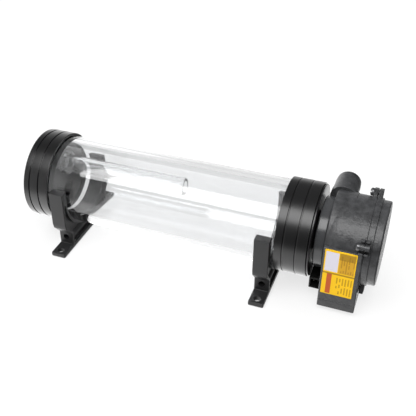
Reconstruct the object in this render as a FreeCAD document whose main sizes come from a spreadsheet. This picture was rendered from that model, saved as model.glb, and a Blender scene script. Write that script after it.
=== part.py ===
"""Coolant pump reservoir: a clear tube between two black end pieces, held in two
push-on clips, with a canned-rotor pump screwed into one end.

The X axis runs along the tube towards the pump, Y to the back and Z up. Every piece
is drawn in the tube's own frame, where X = 0 is the edge of the end cap that faces
the pump and the tube's axis is Y = Z = 0. The placement of each piece then puts the
origin under the middle of the whole assembly, on the surface that it stands on.
"""
import FreeCAD, Part
import math
import os

import Sketcher

V = FreeCAD.Vector

# Driving sizes in millimetres and degrees
SIZES = {
    # Tube
    "tube_od": 60.0,
    "tube_wall": 5.0,
    "tube_length": 188.0,
    "tube_seat": 12.0,
    "axis_height": 42.2,
    # Fits between pieces that are pushed or screwed together
    "seat_clearance": 0.1,
    "seal_clearance": 0.03,
    "running_clearance": 0.05,
    # End cap
    "cap_od": 63.7,
    "cap_face": 6.0,
    "cap_plug_length": 11.0,
    "cap_groove_first": 4.4,
    "cap_groove_second": 11.2,
    "groove_width": 0.9,
    "groove_depth": 0.8,
    "cap_edge": 0.5,
    # Seals of the end pieces
    "tube_seal_section": 2.0,
    "tube_seal_first": 3.0,
    "tube_seal_second": 7.0,
    # Ports of the end cap
    "port_offset": 11.7,
    "port_bore": 11.7,
    "port_depth": 9.0,
    "port_waterway": 8.0,
    # Standpipe inside the tube
    "standpipe_od": 12.0,
    "standpipe_wall": 2.0,
    "standpipe_reach": 92.5,
    "fitting_od": 16.4,
    "fitting_stub_od": 14.6,
    "fitting_stub_length": 5.6,
    "fitting_collar": 4.5,
    "standpipe_socket": 4.5,
    # Fill plug
    "fill_plug_rim": 1.05,
    "fill_plug_head": 3.4,
    "fill_plug_thread": 8.0,
    "fill_plug_key": 6.0,
    "fill_plug_key_depth": 3.0,
    "fill_plug_standoff": 0.3,
    "fill_plug_seal_section": 1.5,
    # Pump adapter
    "adapter_band": 21.5,
    "adapter_groove_first": 5.8,
    "adapter_groove_second": 14.3,
    "adapter_rim": 1.4,
    "adapter_rim_od": 62.0,
    "suction_bore": 14.0,
    "neck_od": 26.0,
    "neck_socket": 9.6,
    "neck_seal_section": 2.0,
    # Clips that hold the tube
    "clip_width": 10.5,
    "clip_gap_cap": 4.0,
    "clip_gap_adapter": 1.5,
    "clip_clearance": 0.05,
    "clip_half_span": 35.0,
    "clip_arm_top": 7.9,
    "clip_arm_bottom": 20.5,
    "clip_neck_half_span": 27.9,
    "clip_neck_top": 29.5,
    "clip_foot_half_span": 41.3,
    "clip_foot": 3.1,
    "clip_foot_hole": 4.8,
    "clip_foot_hole_inset": 4.3,
    "clip_side_hole": 4.6,
    "clip_side_hole_height": 8.6,
    "clip_pocket": 2.6,
    "clip_wall": 1.9,
    # Suction cover of the pump
    "cover_gap": 1.1,
    "cover_od": 48.0,
    "cover_length": 6.8,
    "cover_edge": 1.2,
    "cover_register": 3.0,
    "shaft_arm": 1.6,
    "shaft_hub": 6.0,
    "shaft_hub_od": 6.4,
    # Pump casing
    "casing_od": 58.0,
    "casing_length": 25.4,
    "casing_face_od": 53.2,
    "casing_shoulder": 8.4,
    "casing_shoulder_radius": 15.9,
    "register_bore": 42.1,
    "chamber_bore": 40.0,
    "chamber_depth": 9.0,
    "casing_web": 1.7,
    "stator_bore": 51.0,
    "board_bore": 52.8,
    "board_seat": 1.6,
    # Outlet
    "outlet_od": 17.0,
    "outlet_bore": 13.0,
    "outlet_from_face": 3.3,
    "outlet_rise": 20.5,
    "outlet_root": 12.0,
    "outlet_reach": 33.0,
    "outlet_land": 3.6,
    "outlet_land_step": 0.35,
    "outlet_collar": 0.35,
    "outlet_collar_reach": 18.5,
    "swell_od": 54.0,
    "swell_length": 13.5,
    "swell_back": 1.0,
    "swell_up": 2.2,
    "throat_bore": 8.8,
    "throat_from_face": 7.5,
    "throat_rise": 17.6,
    "throat_reach": 22.0,
    # Terminal box under the casing
    "box_side_gap": 0.6,
    "box_length": 24.4,
    "box_front": 29.2,
    "box_back": 10.0,
    "box_bottom": 33.0,
    "box_pad_top": 9.6,
    "box_wall": 2.6,
    "box_bay_front": 9.5,
    "box_bay_back": 3.0,
    "box_bay_top": 26.8,
    "box_cover": 5.8,
    "box_cover_floor": 2.0,
    "box_cover_edge": 0.8,
    "box_cover_wall": 1.95,
    "plate_thickness": 0.3,
    "plate_width": 20.1,
    "plate_top": 9.0,
    "plate_bottom": 26.7,
    "plate_from_box": 1.4,
    # Screw ears of the casing and the rear cover
    "ear_angle": 28.0,
    "ear_radius": 31.8,
    "ear_boss_od": 6.0,
    "ear_width": 9.6,
    "ear_rib": 1.3,
    "ear_rise": 34.6,
    "casing_ear": 3.4,
    "rear_ear": 2.7,
    "screw_thread": 3.0,
    "screw_head_od": 5.2,
    "screw_head": 2.3,
    "screw_length": 5.8,
    "screw_slot": 0.9,
    # Rear cover
    "flange_length": 3.9,
    "rear_od": 56.0,
    "rear_length": 5.4,
    "rear_edge": 1.2,
    "rear_bore": 49.0,
    "rear_wall": 1.8,
    "gasket_inner": 53.4,
    "gasket_outer": 57.0,
    "gasket_thickness": 0.6,
    # Rotor, can and bearings
    "shaft_od": 3.0,
    "shaft_front": 1.0,
    "impeller_od": 32.0,
    "impeller_front": 0.5,
    "impeller_depth": 4.1,
    "impeller_disc": 1.4,
    "impeller_hub_od": 9.0,
    "vane_count": 7.0,
    "vane_thickness": 1.2,
    "vane_root": 3.3,
    "vane_tip_gap": 0.51,
    "vane_offset": 1.65,
    "vane_rise": 2.64,
    "vane_sweep": 22.0,
    "can_bore": 22.0,
    "can_wall": 0.8,
    "can_flange_od": 39.4,
    "can_flange": 1.5,
    "can_end": 1.0,
    "can_boss_od": 6.0,
    "can_boss": 1.2,
    "can_length": 10.5,
    "magnet_od": 20.6,
    "magnet_length": 9.0,
    "magnet_start": 1.2,
    "bush_od": 6.0,
    "washer": 0.4,
    "washer_od": 5.6,
    "can_seal_section": 1.4,
    "can_seal_radius": 15.5,
    # Stator
    "core_length": 5.8,
    "core_start": 1.7,
    "core_yoke": 3.6,
    "core_clearance": 0.3,
    "tooth_count": 6.0,
    "tooth_width": 4.6,
    "tooth_tip": 1.6,
    "tooth_tip_width": 9.0,
    "coil_build": 1.5,
    "coil_space": 0.6,
    # Electronics
    "board_bore_centre": 8.0,
    "capacitor_od": 6.3,
    "capacitor_length": 5.6,
    "driver_chip": 6.0,
    "switch_from_axis": 11.0,
    "switch_width": 4.8,
    "switch_height": 5.4,
    "switch_pitch": 7.2,
    "switch_drop": 10.2,
    "chip_thickness": 1.2,
    # Connector
    "connector_length": 8.2,
    "connector_front": 20.0,
    "connector_depth": 16.0,
    "connector_top": 24.6,
    "connector_bottom": 33.4,
    "connector_wall": 1.0,
    "socket_depth": 10.0,
    "pin_size": 0.8,
    "pin_recess": 4.6,
    "pin_pitch": 3.0,
    "pin_tail": 2.6,
    "lead_od": 0.8,
    "cover_screw_thread": 2.4,
    "cover_screw_head_od": 4.2,
    "cover_screw_head": 1.5,
    "cover_screw_length": 6.4,
    "cover_screw_inset": 2.6,
    "cover_post_od": 4.8,
}


class Size:
    """A length that carries its value and the formula that gives it from the sheet."""

    def __init__(self, value, formula):
        self.value = value
        self.formula = formula

    def __add__(self, other):
        other = as_size(other)
        return Size(self.value + other.value, f"({self.formula} + {other.formula})")

    def __sub__(self, other):
        other = as_size(other)
        return Size(self.value - other.value, f"({self.formula} - {other.formula})")

    def __mul__(self, factor):
        return Size(self.value * factor, f"({self.formula} * {factor!r})")

    def __truediv__(self, divisor):
        return Size(self.value / divisor, f"({self.formula} / {divisor!r})")

    def __neg__(self):
        return Size(-self.value, f"(-{self.formula})")


def as_size(number):
    """A plain number as a Size, and a Size as it is."""
    if isinstance(number, Size):
        return number
    return Size(float(number), repr(float(number)))


class Driving:
    """The sheet's cells, read as attributes."""

    def __init__(self, sheet):
        for row, (name, value) in enumerate(SIZES.items(), start=1):
            sheet.set(f"A{row}", str(value))
            sheet.setAlias(f"A{row}", name)
            setattr(self, name, Size(value, f"Sizes.{name}"))


doc = FreeCAD.newDocument("coolant_pump_reservoir")
sheet = doc.addObject("Spreadsheet::Sheet", "Sizes")
s = Driving(sheet)
doc.recompute()

# Stations along X, counted from the end cap's inner edge
tube_start = -s.tube_seat
tube_end = tube_start + s.tube_length
cap_outer = tube_start - s.cap_face
adapter_start = tube_end - s.tube_seat
adapter_band_end = adapter_start + s.adapter_band
adapter_end = adapter_band_end + s.adapter_rim
cover_start = adapter_end + s.cover_gap
casing_start = cover_start + s.cover_length
casing_end = casing_start + s.casing_length
flange_end = casing_end + s.flange_length
rear_end = flange_end + s.rear_length
plug_head_start = cap_outer - s.fill_plug_standoff - s.fill_plug_head

# The part's frame: middle of the whole length, on the surface below
middle = (plug_head_start + rear_end) / 2
FRAME = (-middle, as_size(0), s.axis_height)

ALONG_X = FreeCAD.Rotation(V(0, 1, 0), 90)
ALONG_Y = FreeCAD.Rotation(V(1, 0, 0), -90)
ALONG_Z = FreeCAD.Rotation()

parts = []


def bind(thing, path, size):
    """Ties one property of an object to the sheet."""
    thing.setExpression(path, as_size(size).formula)


def place(thing, at, rotation=ALONG_Z):
    """Turns an object and ties its position to the sheet."""
    thing.Placement = FreeCAD.Placement(V(*(as_size(c).value for c in at)), rotation)
    for axis, coordinate in zip("xyz", at):
        bind(thing, f".Placement.Base.{axis}", coordinate)


def new_body(label, separate_solids=False):
    """A body in the part's frame, drawn in the tube's frame."""
    body = doc.addObject("PartDesign::Body", label)
    body.Label = label
    body.AllowCompound = separate_solids
    place(body, FRAME)
    parts.append(body)
    return body


def origin_feature(body, role):
    return next(feature for feature in body.Origin.OriginFeatures if feature.Role == role)


def sketch_on(body, name, role):
    """An empty sketch on one of the body's own planes."""
    sketch = body.newObject("Sketcher::SketchObject", name)
    sketch.AttachmentSupport = (origin_feature(body, role), [""])
    sketch.MapMode = "FlatFace"
    return sketch


def arc_between(start, end, radius, side):
    """The arc from start to end; side is +1 where it bulges to the left of that way."""
    chord = end - start
    half = chord.Length / 2
    normal = V(-chord.y, chord.x, 0).normalize()
    sagitta = radius - math.sqrt(max(radius ** 2 - half ** 2, 0))
    middle_point = (start + end) / 2 + normal * side * sagitta
    return Part.Arc(start, middle_point, end)


def closed_outline(sketch, points, arcs=None):
    """A closed outline through the points; arcs maps an edge's number to (radius, side)."""
    arcs = arcs or {}
    corners = [V(as_size(u).value, as_size(v).value, 0) for u, v in points]
    count = len(corners)
    ends = []
    for i, start in enumerate(corners):
        end = corners[(i + 1) % count]
        if i in arcs:
            radius, side = arcs[i]
            curve = arc_between(start, end, radius.value, side).toShape().Curve
            first = curve.parameter(start)
            last = curve.parameter(end)
            if curve.Axis.z < 0:
                curve.Axis = V(0, 0, 1)
                first = curve.parameter(start)
                last = curve.parameter(end)
            anticlockwise = (last - first) % (2 * math.pi) < math.pi
            if anticlockwise:
                sketch.addGeometry(Part.ArcOfCircle(curve, first, last), False)
                ends.append((1, 2))
            else:
                sketch.addGeometry(Part.ArcOfCircle(curve, last, first), False)
                ends.append((2, 1))
        else:
            sketch.addGeometry(Part.LineSegment(start, end), False)
            ends.append((1, 2))
    for i in range(count):
        following = (i + 1) % count
        sketch.addConstraint(
            Sketcher.Constraint("Coincident", i, ends[i][1], following, ends[following][0])
        )
    for i, (u, v) in enumerate(points):
        for kind, coordinate in (("DistanceX", u), ("DistanceY", v)):
            size = as_size(coordinate)
            index = sketch.addConstraint(
                Sketcher.Constraint(kind, -1, 1, i, ends[i][0], size.value)
            )
            bind(sketch, f"Constraints[{index}]", size)
    for i, (radius, _) in arcs.items():
        index = sketch.addConstraint(Sketcher.Constraint("Radius", i, radius.value))
        bind(sketch, f"Constraints[{index}]", radius)


def revolve(body, name, points, arcs=None, remove=False):
    """Turns an outline of (x, radius) points about the tube's axis."""
    sketch = sketch_on(body, f"{name}_outline", "XZ_Plane")
    closed_outline(sketch, points, arcs)
    kind = "PartDesign::Groove" if remove else "PartDesign::Revolution"
    feature = body.newObject(kind, name)
    feature.Profile = sketch
    feature.ReferenceAxis = (sketch, ["H_Axis"])
    feature.Angle = 360
    return feature


def ring_points(x_from, x_to, inner, outer):
    """The outline of a plain ring, or of a disc where inner is 0."""
    return [(x_from, inner), (x_from, outer), (x_to, outer), (x_to, inner)]


def cylinder(body, name, diameter, length, at, rotation=ALONG_X, remove=False):
    kind = "PartDesign::SubtractiveCylinder" if remove else "PartDesign::AdditiveCylinder"
    feature = body.newObject(kind, name)
    bind(feature, "Radius", as_size(diameter) / 2)
    bind(feature, "Height", length)
    place(feature, at, rotation)
    return feature


def block(body, name, low, high, remove=False):
    """A box between two corners."""
    kind = "PartDesign::SubtractiveBox" if remove else "PartDesign::AdditiveBox"
    feature = body.newObject(kind, name)
    for prop, bottom, top in zip(("Length", "Width", "Height"), low, high):
        bind(feature, prop, as_size(top) - bottom)
    place(feature, low)
    return feature


def bevel(body, name, size, chosen):
    """A chamfer on the edges of the tip that the test chooses."""
    doc.recompute()
    base = body.Tip
    names = [f"Edge{i}" for i, edge in enumerate(base.Shape.Edges, start=1) if chosen(edge)]
    if not names:
        raise RuntimeError(f"{body.Label}: no edge for {name}")
    feature = body.newObject("PartDesign::Chamfer", name)
    feature.Base = (base, names)
    bind(feature, "Size", size)
    return feature


def polar_copies(body, name, originals, count, angle=360):
    feature = body.newObject("PartDesign::PolarPattern", name)
    feature.Originals = originals
    feature.Axis = (origin_feature(body, "X_Axis"), [""])
    feature.Angle = angle
    bind(feature, "Occurrences", count)
    body.Tip = feature
    return feature


def circle_at(edge, x, radius):
    """Whether an edge is the circle of this radius about the tube's axis at this x."""
    curve = edge.Curve
    if not isinstance(curve, Part.Circle):
        return False
    centre = curve.Center
    on_axis = math.hypot(centre.y, centre.z) < 1e-4
    same = abs(centre.x - x.value) < 1e-4 and abs(curve.Radius - radius.value) < 1e-4
    return on_axis and same


# Clear tube
tube_radius = s.tube_od / 2
tube_inner = tube_radius - s.tube_wall


def make_reservoir_tube():
    body = new_body("reservoir_tube")
    revolve(body, "wall", ring_points(tube_start, tube_end, tube_inner, tube_radius))


# End pieces: a ring over the tube and a plug with two seals inside it
plug_radius = tube_inner - s.seat_clearance
skirt_bore = tube_radius + s.seat_clearance
seal_groove_radius = tube_inner - s.tube_seal_section
cap_radius = s.cap_od / 2


def outer_grooves(body, start, stations, outer_radius):
    """Narrow turned grooves round the outside, at distances from the start."""
    for i, station in enumerate(stations, start=1):
        centre = start + station
        revolve(
            body,
            f"groove_{i}",
            ring_points(
                centre - s.groove_width / 2,
                centre + s.groove_width / 2,
                outer_radius - s.groove_depth,
                outer_radius + 1,
            ),
            remove=True,
        )


def seal_grooves(body, centres):
    for i, centre in enumerate(centres, start=1):
        half = s.tube_seal_section / 2 + s.seat_clearance
        revolve(
            body,
            f"seal_groove_{i}",
            ring_points(centre - half, centre + half, seal_groove_radius, tube_inner + 1),
            remove=True,
        )


def torus(name, centre_radius, section_radius, at):
    ring = doc.addObject("Part::Torus", name)
    bind(ring, "Radius1", centre_radius)
    bind(ring, "Radius2", section_radius)
    place(ring, at, ALONG_X)
    return ring


def seal_pair(label, centres):
    """Two O-rings in one node, as separate solids."""
    section = s.tube_seal_section / 2 - s.seal_clearance
    rings = [
        torus(f"{label}_{i}", tube_inner - s.tube_seal_section / 2, section, (centre, 0, 0))
        for i, centre in enumerate(centres, start=1)
    ]
    pair = doc.addObject("Part::Compound", label)
    pair.Label = label
    pair.Links = rings
    place(pair, FRAME)
    parts.append(pair)


def single_seal(label, centre_radius, section, at):
    ring = doc.addObject("Part::Torus", label)
    ring.Label = label
    bind(ring, "Radius1", centre_radius)
    bind(ring, "Radius2", section / 2 - s.seal_clearance)
    place(ring, tuple(as_size(a) + b for a, b in zip(at, FRAME)), ALONG_X)
    parts.append(ring)


cap_seals = (tube_start + s.tube_seal_first, tube_start + s.tube_seal_second)
adapter_seals = (tube_end - s.tube_seal_first, tube_end - s.tube_seal_second)
cap_plug_end = tube_start + s.cap_plug_length
fitting_seat = cap_plug_end - s.fitting_stub_length


def make_end_cap():
    body = new_body("end_cap")
    revolve(
        body,
        "turned_shape",
        [
            (cap_outer, 0),
            (cap_outer, cap_radius),
            (0, cap_radius),
            (0, skirt_bore),
            (tube_start, skirt_bore),
            (tube_start, plug_radius),
            (cap_plug_end, plug_radius),
            (cap_plug_end, 0),
        ],
    )
    outer_grooves(body, cap_outer, (s.cap_groove_first, s.cap_groove_second), cap_radius)
    seal_grooves(body, cap_seals)
    port_at = (cap_outer, as_size(0), s.port_offset)
    cylinder(body, "inlet_port", s.port_bore, s.port_depth, port_at, remove=True)
    cylinder(
        body, "inlet_way", s.port_waterway, cap_plug_end - cap_outer, port_at, remove=True
    )
    cylinder(
        body,
        "fitting_seat",
        s.fitting_stub_od + s.seat_clearance * 2,
        s.fitting_stub_length,
        (fitting_seat, 0, s.port_offset),
        remove=True,
    )
    cylinder(
        body,
        "fill_port",
        s.port_bore,
        cap_plug_end - cap_outer,
        (cap_outer, 0, -s.port_offset),
        remove=True,
    )
    bevel(
        body,
        "edges",
        s.cap_edge,
        lambda edge: circle_at(edge, cap_outer, cap_radius)
        or circle_at(edge, as_size(0), cap_radius)
        or circle_at(edge, cap_plug_end, plug_radius),
    )


def make_pump_adapter():
    rim_radius = s.adapter_rim_od / 2
    plug_start = tube_end - s.cap_plug_length
    body = new_body("pump_adapter")
    revolve(
        body,
        "turned_shape",
        [
            (plug_start, s.suction_bore / 2),
            (plug_start, plug_radius),
            (tube_end, plug_radius),
            (tube_end, skirt_bore),
            (adapter_start, skirt_bore),
            (adapter_start, cap_radius),
            (adapter_band_end, cap_radius),
            (adapter_band_end, rim_radius - s.groove_depth),
            (adapter_band_end + s.groove_width / 2, rim_radius - s.groove_depth),
            (adapter_band_end + s.groove_width / 2, rim_radius),
            (adapter_end, rim_radius),
            (adapter_end, neck_socket_radius),
            (adapter_end - s.neck_socket, neck_socket_radius),
            (adapter_end - s.neck_socket, s.suction_bore / 2),
        ],
    )
    stations = (s.adapter_groove_first, s.adapter_groove_second)
    outer_grooves(body, adapter_start, stations, cap_radius)
    seal_grooves(body, adapter_seals)
    bevel(
        body,
        "edges",
        s.cap_edge,
        lambda edge: circle_at(edge, adapter_start, cap_radius)
        or circle_at(edge, adapter_band_end, cap_radius)
        or circle_at(edge, plug_start, plug_radius),
    )


# Standpipe and the fitting that holds it
standpipe_radius = s.standpipe_od / 2
fitting_face = cap_plug_end + s.fitting_collar
standpipe_start = fitting_face - s.standpipe_socket


def offset_body(label, rise):
    """A body whose own X axis lies this far above the tube's axis."""
    body = new_body(label)
    place(body, (FRAME[0], FRAME[1], FRAME[2] + rise))
    return body


def make_standpipe():
    body = offset_body("standpipe", s.port_offset)
    inner = standpipe_radius - s.standpipe_wall
    end = s.standpipe_reach
    revolve(body, "wall", ring_points(standpipe_start, end, inner, standpipe_radius))
    bevel(
        body,
        "lip",
        s.cap_edge,
        lambda edge: circle_at(edge, end, standpipe_radius) or circle_at(edge, end, inner),
    )


def make_standpipe_fitting():
    body = offset_body("standpipe_fitting", s.port_offset)
    way = s.port_waterway / 2
    socket = standpipe_radius + s.seat_clearance / 2
    revolve(
        body,
        "turned_shape",
        [
            (fitting_seat + s.seat_clearance, way),
            (fitting_seat + s.seat_clearance, s.fitting_stub_od / 2),
            (cap_plug_end, s.fitting_stub_od / 2),
            (cap_plug_end, s.fitting_od / 2),
            (fitting_face, s.fitting_od / 2),
            (fitting_face, socket),
            (standpipe_start, socket),
            (standpipe_start, way),
        ],
    )
    bevel(
        body,
        "collar_edge",
        s.cap_edge,
        lambda edge: circle_at(edge, fitting_face, s.fitting_od / 2),
    )


# Fill plug, which screws out of the lower port, and the seal under its head
plug_under_head = cap_outer - s.fill_plug_standoff
plug_thread_radius = s.port_bore / 2 - s.running_clearance
fill_seal_radius = s.port_bore / 2 + s.fill_plug_seal_section / 2 + s.seat_clearance * 2
fill_seal_groove = s.fill_plug_seal_section - s.fill_plug_standoff
fill_seal_x = cap_outer - s.fill_plug_seal_section / 2


fill_groove_outer = fill_seal_radius + s.fill_plug_seal_section / 2 + s.seat_clearance
plug_head_radius = fill_groove_outer + s.fill_plug_rim


def make_fill_plug():
    body = offset_body("fill_plug", -s.port_offset)
    groove_floor = plug_under_head - fill_seal_groove
    revolve(
        body,
        "turned_shape",
        [
            (plug_head_start, 0),
            (plug_head_start, plug_head_radius),
            (plug_under_head, plug_head_radius),
            (plug_under_head, fill_groove_outer),
            (groove_floor, fill_groove_outer),
            (groove_floor, plug_thread_radius),
            (cap_outer + s.fill_plug_thread, plug_thread_radius),
            (cap_outer + s.fill_plug_thread, 0),
        ],
    )
    key = body.newObject("PartDesign::SubtractivePrism", "key_socket")
    key.Polygon = 6
    bind(key, "Circumradius", s.fill_plug_key / math.sqrt(3))
    bind(key, "Height", s.fill_plug_key_depth)
    place(key, (plug_head_start, 0, 0), ALONG_X)
    bevel(
        body,
        "head_edge",
        s.cap_edge,
        lambda edge: circle_at(edge, plug_head_start, plug_head_radius),
    )


# Clips: a block with a bore that wraps past the middle of the tube
clip_bore = s.tube_od + s.clip_clearance * 2
clip_bottom = -s.axis_height
clip_foot_top = clip_bottom + s.clip_foot
clip_starts = {
    "left_bracket": s.clip_gap_cap,
    "right_bracket": adapter_start - s.clip_gap_adapter - s.clip_width,
}


def mirrored(points):
    """The points and then their mirror images, in one turn round the outline."""
    return points + [(-as_size(y), z) for y, z in reversed(points)]


def make_bracket(label, start):
    body = new_body(label)
    place(body, (FRAME[0] + start, FRAME[1], FRAME[2]))
    outline = mirrored(
        [
            (s.clip_half_span, s.clip_arm_top),
            (s.clip_half_span, -s.clip_arm_bottom),
            (s.clip_neck_half_span, -s.clip_neck_top),
            (s.clip_neck_half_span, clip_foot_top),
            (s.clip_foot_half_span, clip_foot_top),
            (s.clip_foot_half_span, clip_bottom),
        ]
    )
    profile = sketch_on(body, "outline", "YZ_Plane")
    closed_outline(profile, outline)
    pad = body.newObject("PartDesign::Pad", "block")
    pad.Profile = profile
    bind(pad, "Length", s.clip_width)
    # Hollows in both sides, which leave a web, the outer walls and a rim round the bore
    wall = s.clip_wall
    hollow = [
        (s.clip_half_span - wall, -s.clip_wall),
        (s.clip_half_span - wall, -s.clip_arm_bottom),
        (s.clip_neck_half_span - wall, -s.clip_neck_top),
        (s.clip_neck_half_span - wall, clip_foot_top),
    ]
    for side, (x_low, x_high) in enumerate(
        ((0, s.clip_pocket), (s.clip_width - s.clip_pocket, s.clip_width)), start=1
    ):
        floor_sketch = sketch_on(body, f"hollow_{side}_outline", "YZ_Plane")
        closed_outline(floor_sketch, mirrored(hollow))
        floor_sketch.AttachmentOffset = FreeCAD.Placement(V(0, 0, 0), FreeCAD.Rotation())
        bind(floor_sketch, ".AttachmentOffset.Base.z", x_low)
        pocket = body.newObject("PartDesign::Pocket", f"hollow_{side}")
        pocket.Profile = floor_sketch
        pocket.Reversed = True
        bind(pocket, "Length", s.clip_pocket)
        rim = clip_bore + s.clip_wall * 2
        cylinder(body, f"rim_{side}", rim, s.clip_pocket, (x_low, 0, 0))
        block(
            body,
            f"rim_trim_{side}",
            (as_size(x_low) - 1, -s.clip_half_span, s.clip_arm_top),
            (as_size(x_high) + 1, s.clip_half_span, s.clip_half_span),
            remove=True,
        )
    middle_x = s.clip_width / 2
    side_hole = (middle_x, -s.clip_neck_half_span, clip_bottom + s.clip_side_hole_height)
    neck_span = s.clip_neck_half_span * 2
    side_boss = s.clip_side_hole + s.clip_wall * 2
    cylinder(body, "side_boss", side_boss, neck_span, side_hole, ALONG_Y)
    cylinder(body, "side_hole", s.clip_side_hole, neck_span, side_hole, ALONG_Y, remove=True)
    cylinder(body, "bore", clip_bore, s.clip_width, (0, 0, 0), remove=True)
    foot_hole_y = s.clip_foot_half_span - s.clip_foot_hole_inset
    for side, sign in (("front", -1), ("back", 1)):
        cylinder(
            body,
            f"{side}_foot_hole",
            s.clip_foot_hole,
            s.clip_foot,
            (middle_x, foot_hole_y * sign, clip_bottom),
            ALONG_Z,
            remove=True,
        )


# Suction cover: the disc with the neck that screws into the adapter
neck_radius = s.neck_od / 2
neck_socket_radius = neck_radius + s.seat_clearance
neck_start = adapter_end - s.neck_socket
cover_register_end = casing_start + s.cover_register
cover_register_radius = s.register_bore / 2 - s.seat_clearance
neck_seal_x = neck_start + s.neck_socket / 2


def make_suction_cover():
    body = new_body("suction_cover")
    cover_radius = s.cover_od / 2
    revolve(
        body,
        "turned_shape",
        [
            (neck_start, s.suction_bore / 2),
            (neck_start, neck_radius),
            (cover_start, neck_radius),
            (cover_start, cover_radius),
            (casing_start, cover_radius),
            (casing_start, cover_register_radius),
            (cover_register_end, cover_register_radius),
            (cover_register_end, s.suction_bore / 2),
        ],
    )
    half = s.neck_seal_section / 2 + s.seat_clearance
    revolve(
        body,
        "neck_seal_groove",
        ring_points(
            neck_seal_x - half,
            neck_seal_x + half,
            neck_socket_radius - s.neck_seal_section,
            neck_radius + 1,
        ),
        remove=True,
    )
    revolve(
        body,
        "casing_seal_groove",
        ring_points(
            casing_seal_x - half,
            casing_seal_x + half,
            s.register_bore / 2 - s.neck_seal_section,
            s.register_bore / 2 + 1,
        ),
        remove=True,
    )
    bevel(body, "front_edge", s.cover_edge, lambda edge: circle_at(edge, cover_start, cover_radius))
    # Three arms across the inlet carry the hub that holds the shaft
    hub_start = cover_register_end - s.shaft_hub
    reach = s.suction_bore / 2 + s.seat_clearance
    arm = block(
        body,
        "shaft_arm",
        (hub_start, -s.shaft_arm / 2, 0),
        (cover_register_end - s.shaft_hub / 3, s.shaft_arm / 2, reach),
    )
    polar_copies(body, "shaft_arms", [arm], 3)
    cylinder(body, "shaft_hub", s.shaft_hub_od, s.shaft_hub, (hub_start, 0, 0))
    cylinder(
        body,
        "shaft_socket",
        s.shaft_od + s.seal_clearance * 2,
        cover_register_end - shaft_start,
        (shaft_start, 0, 0),
        remove=True,
    )


# Casing: shell, chamber, stator bore, outlet, terminal box and screw ears in one moulding
casing_radius = s.casing_od / 2
casing_seal_x = casing_start + s.cover_register / 2
chamber_start = cover_register_end
chamber_end = chamber_start + s.chamber_depth
stator_start = chamber_end + s.casing_web
board_start = casing_end - s.board_seat
outlet_x = casing_start + s.outlet_from_face
throat_x = casing_start + s.throat_from_face
box_start = casing_start + s.box_side_gap
box_end = box_start + s.box_length
can_outer = s.can_bore / 2 + s.can_wall
casing_ear_start = casing_end - s.casing_ear
bay_start = box_start + s.box_wall
bay_end = box_end - s.box_wall
connector_back = s.connector_depth - s.connector_front
EAR_TURN = FreeCAD.Rotation(V(1, 0, 0), -SIZES["ear_angle"])


def screw_ears(body, x_from, length):
    """A round boss between two ribs, copied round the axis."""
    boss = cylinder(
        body,
        "ear_boss",
        s.ear_boss_od,
        length,
        (x_from, *turned(-s.ear_radius, 0)),
    )
    web = ear_block(body, "ear_web", x_from, length, s.ear_rib / 2, -s.ear_rib / 2, s.ear_radius)
    half = s.ear_width / 2
    upper = ear_block(body, "ear_upper_rib", x_from, length, half, half - s.ear_rib, s.ear_rise)
    lower = ear_block(body, "ear_lower_rib", x_from, length, s.ear_rib - half, -half, s.ear_rise)
    polar_copies(body, "ears", [boss, web, upper, lower], 4)


def turned(y, z):
    """A place in the cross-section after the ears' turn about the axis."""
    y, z = as_size(y), as_size(z)
    angle = s.ear_angle
    cos = Size(math.cos(math.radians(angle.value)), f"cos({angle.formula})")
    sin = Size(math.sin(math.radians(angle.value)), f"sin({angle.formula})")
    return product(y, cos) + product(z, sin), product(z, cos) - product(y, sin)


def product(a, b):
    return Size(a.value * b.value, f"({a.formula} * {b.formula})")


def ear_block(body, name, x_from, length, top, bottom, rise):
    """A radial block of an ear, from inside the shell out to the rise."""
    feature = body.newObject("PartDesign::AdditiveBox", name)
    root = s.rear_bore / 2 + 2
    bind(feature, "Length", length)
    bind(feature, "Width", rise - root)
    bind(feature, "Height", as_size(top) - bottom)
    place(feature, (x_from, *turned(-rise, bottom)), EAR_TURN)
    bind(feature, ".Placement.Rotation.Angle", s.ear_angle)
    feature.Placement.Rotation.Axis = V(-1, 0, 0)
    return feature


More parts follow.
